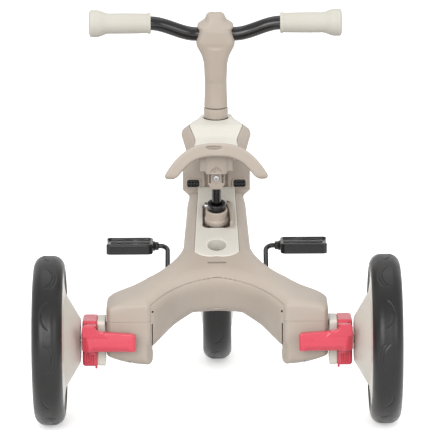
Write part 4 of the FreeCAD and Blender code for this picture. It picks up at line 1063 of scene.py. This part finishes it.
def tyre(name, node, body, centre, outward):
    """Round-shouldered tyre with shallow arc grooves on alternate sides."""
    half = [(RIM_R, -19.5), (RIM_R + 4, -20.8), (109.0, -22.5), (119.8, -18.6, WHEEL_R, -4.0)]
    path = Outline(half + [(WHEEL_R, 0)], steps=22).path
    path = np.array([tuple(p) for p in path] + [(r, -h) for r, h in reversed(path[:-1])])
    base = np.concatenate([[0], np.cumsum(np.linalg.norm(np.diff(path, axis=0), axis=1))])
    rows, count = 74, 800
    where = np.linspace(0, base[-1], rows)
    radius = np.interp(where, base, path[:, 0])
    across = np.interp(where, base, path[:, 1])
    turn = np.linspace(0, 2 * np.pi, count, endpoint=False)
    along = WHEEL_R * turn
    depth = np.zeros((rows, count))
    lap = 2 * np.pi * WHEEL_R
    for mark in range(MARKS):
        a = (along - lap * mark / MARKS + lap / 2) % lap - lap / 2
        way = 1 if mark % 2 else -1
        for bend_r in ((27.0,) if way > 0 else (27.0, 31.5)):
            centre_h = way * 8.0 - way * 27.0
            off = np.abs(np.hypot(a[None, :], across[:, None] - centre_h) - bend_r)
            near = (np.abs(a) < MARK_HALF)[None, :] & (way * (across[:, None] - centre_h) > 0)
            fade = smooth_step((MARK_HALF - np.abs(a)) / 5.0)[None, :]
            depth = np.maximum(depth, np.where(near, smooth_step(1 - off / 1.7), 0) * fade)
    shell = radius[:, None] - MARK_DEPTH * depth
    heights = np.broadcast_to(across[:, None], shell.shape)
    points = np.stack([shell * np.cos(turn), shell * np.sin(turn), heights], -1).reshape(-1, 3)
    index = np.arange(rows * count).reshape(rows, count)
    faces = []
    for k in range(rows):
        here, there = index[k], index[(k + 1) % rows]
        faces.append(np.stack([here, np.roll(here, -1), np.roll(there, -1), there], 1))
    piece = make(name, points, np.concatenate(faces), placed(centre, (outward, 0, 0)), angle=50)
    tidy_mesh(piece, 50)
    finish_piece(piece, "tyre_rubber", body, node)


def wheels():
    tyre("tyre_front", "front_tyre", "front_wheel", HUB, 1)
    for side, name in SIDES:
        node = "rear_tyre_" + name
        tyre("tyre_rear_" + name, node, "rear_wheel_" + name, middle(node), side)


# ---- wheel units: neck, band and release lever --------------------------
BAND_X0 = low("latch_band_right").x
BAND_X1 = high("latch_band_right").x
PIN = middle("latch_pin_right")
LEVER_LOW = low("latch_lever_right").z
LEVER_HIGH = high("latch_lever_right").z
AXLE_R = 5.0
PIN_R = 2.6


def wheel_units():
    axle_y, axle_z = REAR.y, REAR.z
    lever_rear = low("latch_lever_right").y
    tip_x = low("latch_lever_right").x

    def around(x0, x1, half_y, half_z):
        """Corners of a block centred on the axle."""
        return (x0, axle_y - half_y, axle_z - half_z), (x1, axle_y + half_y, axle_z + half_z)

    def neck_field(x, y, z):
        x = np.abs(x)
        body = round_block(x, y, z, *around(BOX_OUT_X - 6, BAND_X0 + 2, 25, 34), 5.0)
        body = np.maximum(body, np.maximum(BOX_OUT_X - x, x - BAND_X0 + 0.1))
        step = round_block(x, y, z, *around(BOX_OUT_X - 1, BOX_OUT_X + 3.5, 26.2, 35.2), 5.5)
        body = soft_any(body, np.maximum(step, BOX_OUT_X - x), 0.8)
        plug = rounded_rect(y, z, axle_y, axle_z + 6.5, 17.6, 19.1, 7.6)
        plug = np.maximum(plug, slab(x, BOX_OUT_X - 46, BOX_OUT_X + 2))
        return np.maximum(np.minimum(body, plug), AXLE_R - np.hypot(y - axle_y, z - axle_z))

    def band_field(x, y, z):
        x = np.abs(x)
        body = round_block(x, y, z, *around(BAND_X0, BAND_X1, 25.6, 34.6), 5.0)
        flange = round_block(x, y, z, *around(BAND_X0 - 0.2, BAND_X0 + 3.4, 26.4, 35.4), 4.2)
        body = soft_any(body, flange, 0.7)
        for k in range(4):
            groove = round_block(x, y, z, (BAND_X0 + 6.2 + 2.9 * k, axle_y - 40, axle_z - 33),
                                 (BAND_X0 + 7.3 + 2.9 * k, axle_y - 24.5, axle_z - 8), 0.4)
            body = soft_both(body, -groove, 0.5)
            ridge = round_block(x, y, z, (BAND_X0 + 5.6 + 3.3 * k, axle_y - 30, axle_z + 27.5),
                                (BAND_X0 + 7.4 + 3.3 * k, axle_y - 22, axle_z + 31.5), 0.6)
            body = soft_both(body, -ridge, 0.5)
        lug = Outline([
            (BAND_X0 + 0.6, axle_y - 18), (BAND_X0 + 0.6, PIN.y), (PIN.x - 5, PIN.y - 7, PIN.x, PIN.y - 7.6),
            (PIN.x + 6, PIN.y - 5, PIN.x + 7.8, PIN.y), (PIN.x + 7.8, axle_y - 18)])
        for z0, z1 in ((LEVER_LOW - 6.5, LEVER_LOW - 0.6), (LEVER_HIGH + 0.6, LEVER_HIGH + 6.5)):
            body = soft_any(body, soft_both(lug.distance(x, y), slab(z, z0, z1), 1.6), 0.8)
        foot = np.hypot(x - BAND_X0 - 1.6, y - axle_y + 20) - 1.7
        foot = soft_both(foot, slab(z, axle_z - 38.5, axle_z - 30), 0.6)
        body = soft_any(body, foot, 0.6)
        body = np.maximum(body, PIN_R - 0.05 - np.hypot(x - PIN.x, y - PIN.y))
        return np.maximum(body, AXLE_R - np.hypot(y - axle_y, z - axle_z))

    def lever_field(x, y, z):
        x = np.abs(x)
        turn_under = LEVER_LOW + 8.0
        back = Outline([
            (PIN.x + 15, LEVER_LOW), (PIN.x + 15, LEVER_HIGH - 3), (PIN.x + 11, LEVER_HIGH),
            (PIN.x - 14, LEVER_HIGH - 0.6), (tip_x + 9, LEVER_HIGH - 3.5),
            (tip_x + 1.5, LEVER_HIGH - 6, tip_x, LEVER_HIGH - 13), (tip_x, LEVER_LOW)])
        plan = Outline([
            (PIN.x - 5, PIN.y + 5), (PIN.x - 22, lever_rear + 16), (tip_x + 6, lever_rear + 16),
            (tip_x, lever_rear + 8, tip_x + 6, lever_rear + 1), (PIN.x + 2, lever_rear + 0.6),
            (PIN.x + 12.6, PIN.y - 13, PIN.x + 13.6, PIN.y), (PIN.x + 5, PIN.y + 6)], steps=10)
        body = soft_both(back.distance(x, z), plan.distance(x, y), 2.6)
        lean = (lever_rear + 0.4 + (z - turn_under) * 0.16 - y) * 0.98
        under = (lever_rear + 0.4 + (turn_under - z) * 0.55 - y) * 0.88
        lens = smooth_step((x - tip_x - 3) / 12) * smooth_step((PIN.x + 8 - x) / 12)
        body = soft_both(body, soft_both(lean, under - (1 - lens) * 5, 1.0), 1.2)
        arm = Outline([
            (PIN.x + 13.2, LEVER_HIGH - 8), (PIN.x + 13.2, LEVER_HIGH + 6), (PIN.x + 10, LEVER_HIGH + 10.5),
            (PIN.x - 5, LEVER_HIGH + 10), (PIN.x - 7.5, LEVER_HIGH + 3.5, PIN.x - 19, LEVER_HIGH + 0.5),
            (PIN.x - 24, LEVER_HIGH - 8)])
        arm = soft_both(arm.distance(x, z), slab(y, lever_rear + 2.2, PIN.y - 10.5), 2.2)
        body = soft_any(body, arm, 1.5)
        return np.maximum(body, PIN_R - np.hypot(x - PIN.x, y - PIN.y))

    on_both_sides([
        ("unit_neck_{}", "cream_plastic", "frame", "wheel_stub_{}", neck_field, 1.5,
         *around(BOX_OUT_X - 48, BAND_X0 + 2, 29, 38)),
        ("unit_band_{}", "red_plastic", "frame", "latch_band_{}", band_field, 0.9,
         (BAND_X0 - 2, PIN.y - 11, axle_z - 41), (BAND_X1 + 3, axle_y + 29, axle_z + 38)),
        ("release_lever_{}", "red_plastic", "latch_{}", "latch_lever_{}", lever_field, 0.9,
         (tip_x - 2, lever_rear - 2, LEVER_LOW - 2), (PIN.x + 17, PIN.y + 9, LEVER_HIGH + 13))])


# ---- pedals -------------------------------------------------------------
def pedals():
    centre = middle("pedal_right")
    y, z = centre.y, centre.z
    x1 = high("pedal_right").x
    x0 = x1 - 77.0

    def field(px, py, pz):
        px = np.abs(px)
        plan = rounded_rect(px, py, (x0 + x1) / 2, y, (x1 - x0) / 2, 30.0, 9.0)
        body = soft_both(plan, slab(pz, z - 8.5, z + 8.5), 3.2)
        tray = soft_both(plan + 4.6, z + 4.4 - pz, 2.0)
        body = soft_both(body, -tray, 1.4)
        below = soft_both(plan + 4.6, pz - (z - 4.4), 2.0)
        body = soft_both(body, -below, 1.4)
        u = (px - x0) / (x1 - x0)
        for start, swing in ((-17.0, 9.0), (-7.0, 12.0), (5.0, 12.0), (16.0, 8.0)):
            wave = np.abs(py - y - start - swing * np.sin(u * 5.2 - 0.6)) - 1.3
            rib = soft_both(soft_both(wave, np.abs(pz - z) - 7.2, 1.2), plan + 2, 0.5)
            body = soft_any(body, rib, 1.0)
        barrel = soft_both(np.hypot(py - y, pz - z) - 8.0, slab(px, x0 - 3, x1 - 3), 1.0)
        collar = soft_both(np.hypot(py - y, pz - z) - 6.8, slab(px, x0 - 9, x0 + 2), 1.6)
        body = soft_any(soft_any(body, barrel, 1.5), collar, 0.8)
        return np.maximum(body, 4.05 - np.hypot(py - y, pz - z) + np.maximum(px - (x1 - 9.5), 0) * 3)
    on_both_sides([("pedal_tray_{}", "black_plastic", "pedal_{}", "pedal_{}", field, 1.15,
                    (x0 - 11, y - 33, z - 11), (x1 + 2, y + 33, z + 11))])


# ---- studio -------------------------------------------------------------
def floor():
    """White glowing ground, which adds no light of its own to the object's underside."""
    size = 30.0
    mesh = bpy.data.meshes.new("studio_floor")
    corners = [(-size, -size, 0), (size, -size, 0), (size, size, 0), (-size, size, 0)]
    mesh.from_pydata(corners, [], [(0, 1, 2, 3)])
    ground = linked("studio_floor", mesh)
    mesh.materials.append(Graph("look_floor").surface(
        Base_Color=(0.93, 0.93, 0.93, 1.0), Roughness=0.9, Emission_Color=(1.0, 1.0, 1.0, 1.0),
        Emission_Strength=0.4))
    ground.visible_diffuse = False


def area_light(name, place, target, size, power):
    data = bpy.data.lights.new(name, "AREA")
    data.shape = "RECTANGLE"
    data.size, data.size_y = size
    data.energy = power
    lamp = linked(name, data)
    lamp.location = place
    lamp.rotation_mode = "QUATERNION"
    lamp.rotation_quaternion = (Vector(target) - Vector(place)).to_track_quat("-Z", "Y")


def studio():
    scene = bpy.context.scene
    scene.view_settings.view_transform = "Standard"
    scene.view_settings.look = "None"
    world = bpy.data.worlds.new("studio_world")
    world.use_nodes = True
    sky = world.node_tree.nodes["Background"]
    sky.inputs["Color"].default_value = (1.0, 1.0, 1.0, 1.0)
    tree = world.node_tree
    height = tree.nodes.new("ShaderNodeSeparateXYZ")
    tree.links.new(tree.nodes.new("ShaderNodeTexCoord").outputs["Generated"], height.inputs[0])
    dim_below = tree.nodes.new("ShaderNodeMapRange")
    tree.links.new(height.outputs["Z"], dim_below.inputs["Value"])
    for socket, value in (("From Min", -0.12), ("From Max", 0.05), ("To Min", 0.62), ("To Max", 0.98)):
        dim_below.inputs[socket].default_value = value
    tree.links.new(dim_below.outputs["Result"], sky.inputs["Strength"])
    scene.world = world
    area_light("key_light", (-1.2, -3.8, 1.7), (0, 0, 0.25), (2.6, 2.0), 92)
    area_light("fill_light", (2.4, -2.9, 1.5), (0, 0, 0.25), (2.0, 1.6), 32)
    area_light("top_light", (0.0, 0.6, 3.2), (0, 0, 0.2), (2.6, 2.0), 14)
    floor()


def camera():
    """Straight behind the tricycle, 11.5 degrees above the horizon, with a long lens."""
    elevation = math.radians(11.5)
    distance = 5.5
    target = Vector((-0.0024, 0.0, 0.2732))
    roll = math.radians(0.35)
    data = bpy.data.cameras.new("camera")
    data.sensor_width = 36.0
    data.lens = 300.0
    data.clip_end = 100.0
    eye = linked("camera", data)
    back = Vector((0.0, -math.cos(elevation), math.sin(elevation)))
    eye.location = target + back * distance
    eye.rotation_mode = "QUATERNION"
    tilt = Matrix.Rotation(-roll, 3, "Z").to_quaternion()
    eye.rotation_quaternion = (-back).to_track_quat("-Z", "Y") @ tilt
    bpy.context.scene.camera = eye


camera()
studio()
dress_cad_nodes()
rear_frame()
saddle()
saddle_mount()
seat_fittings()
front_frame()
frame_plugs()
steering_column()
handlebar()
shell_screws()
grips()
wheels()
wheel_units()
pedals()
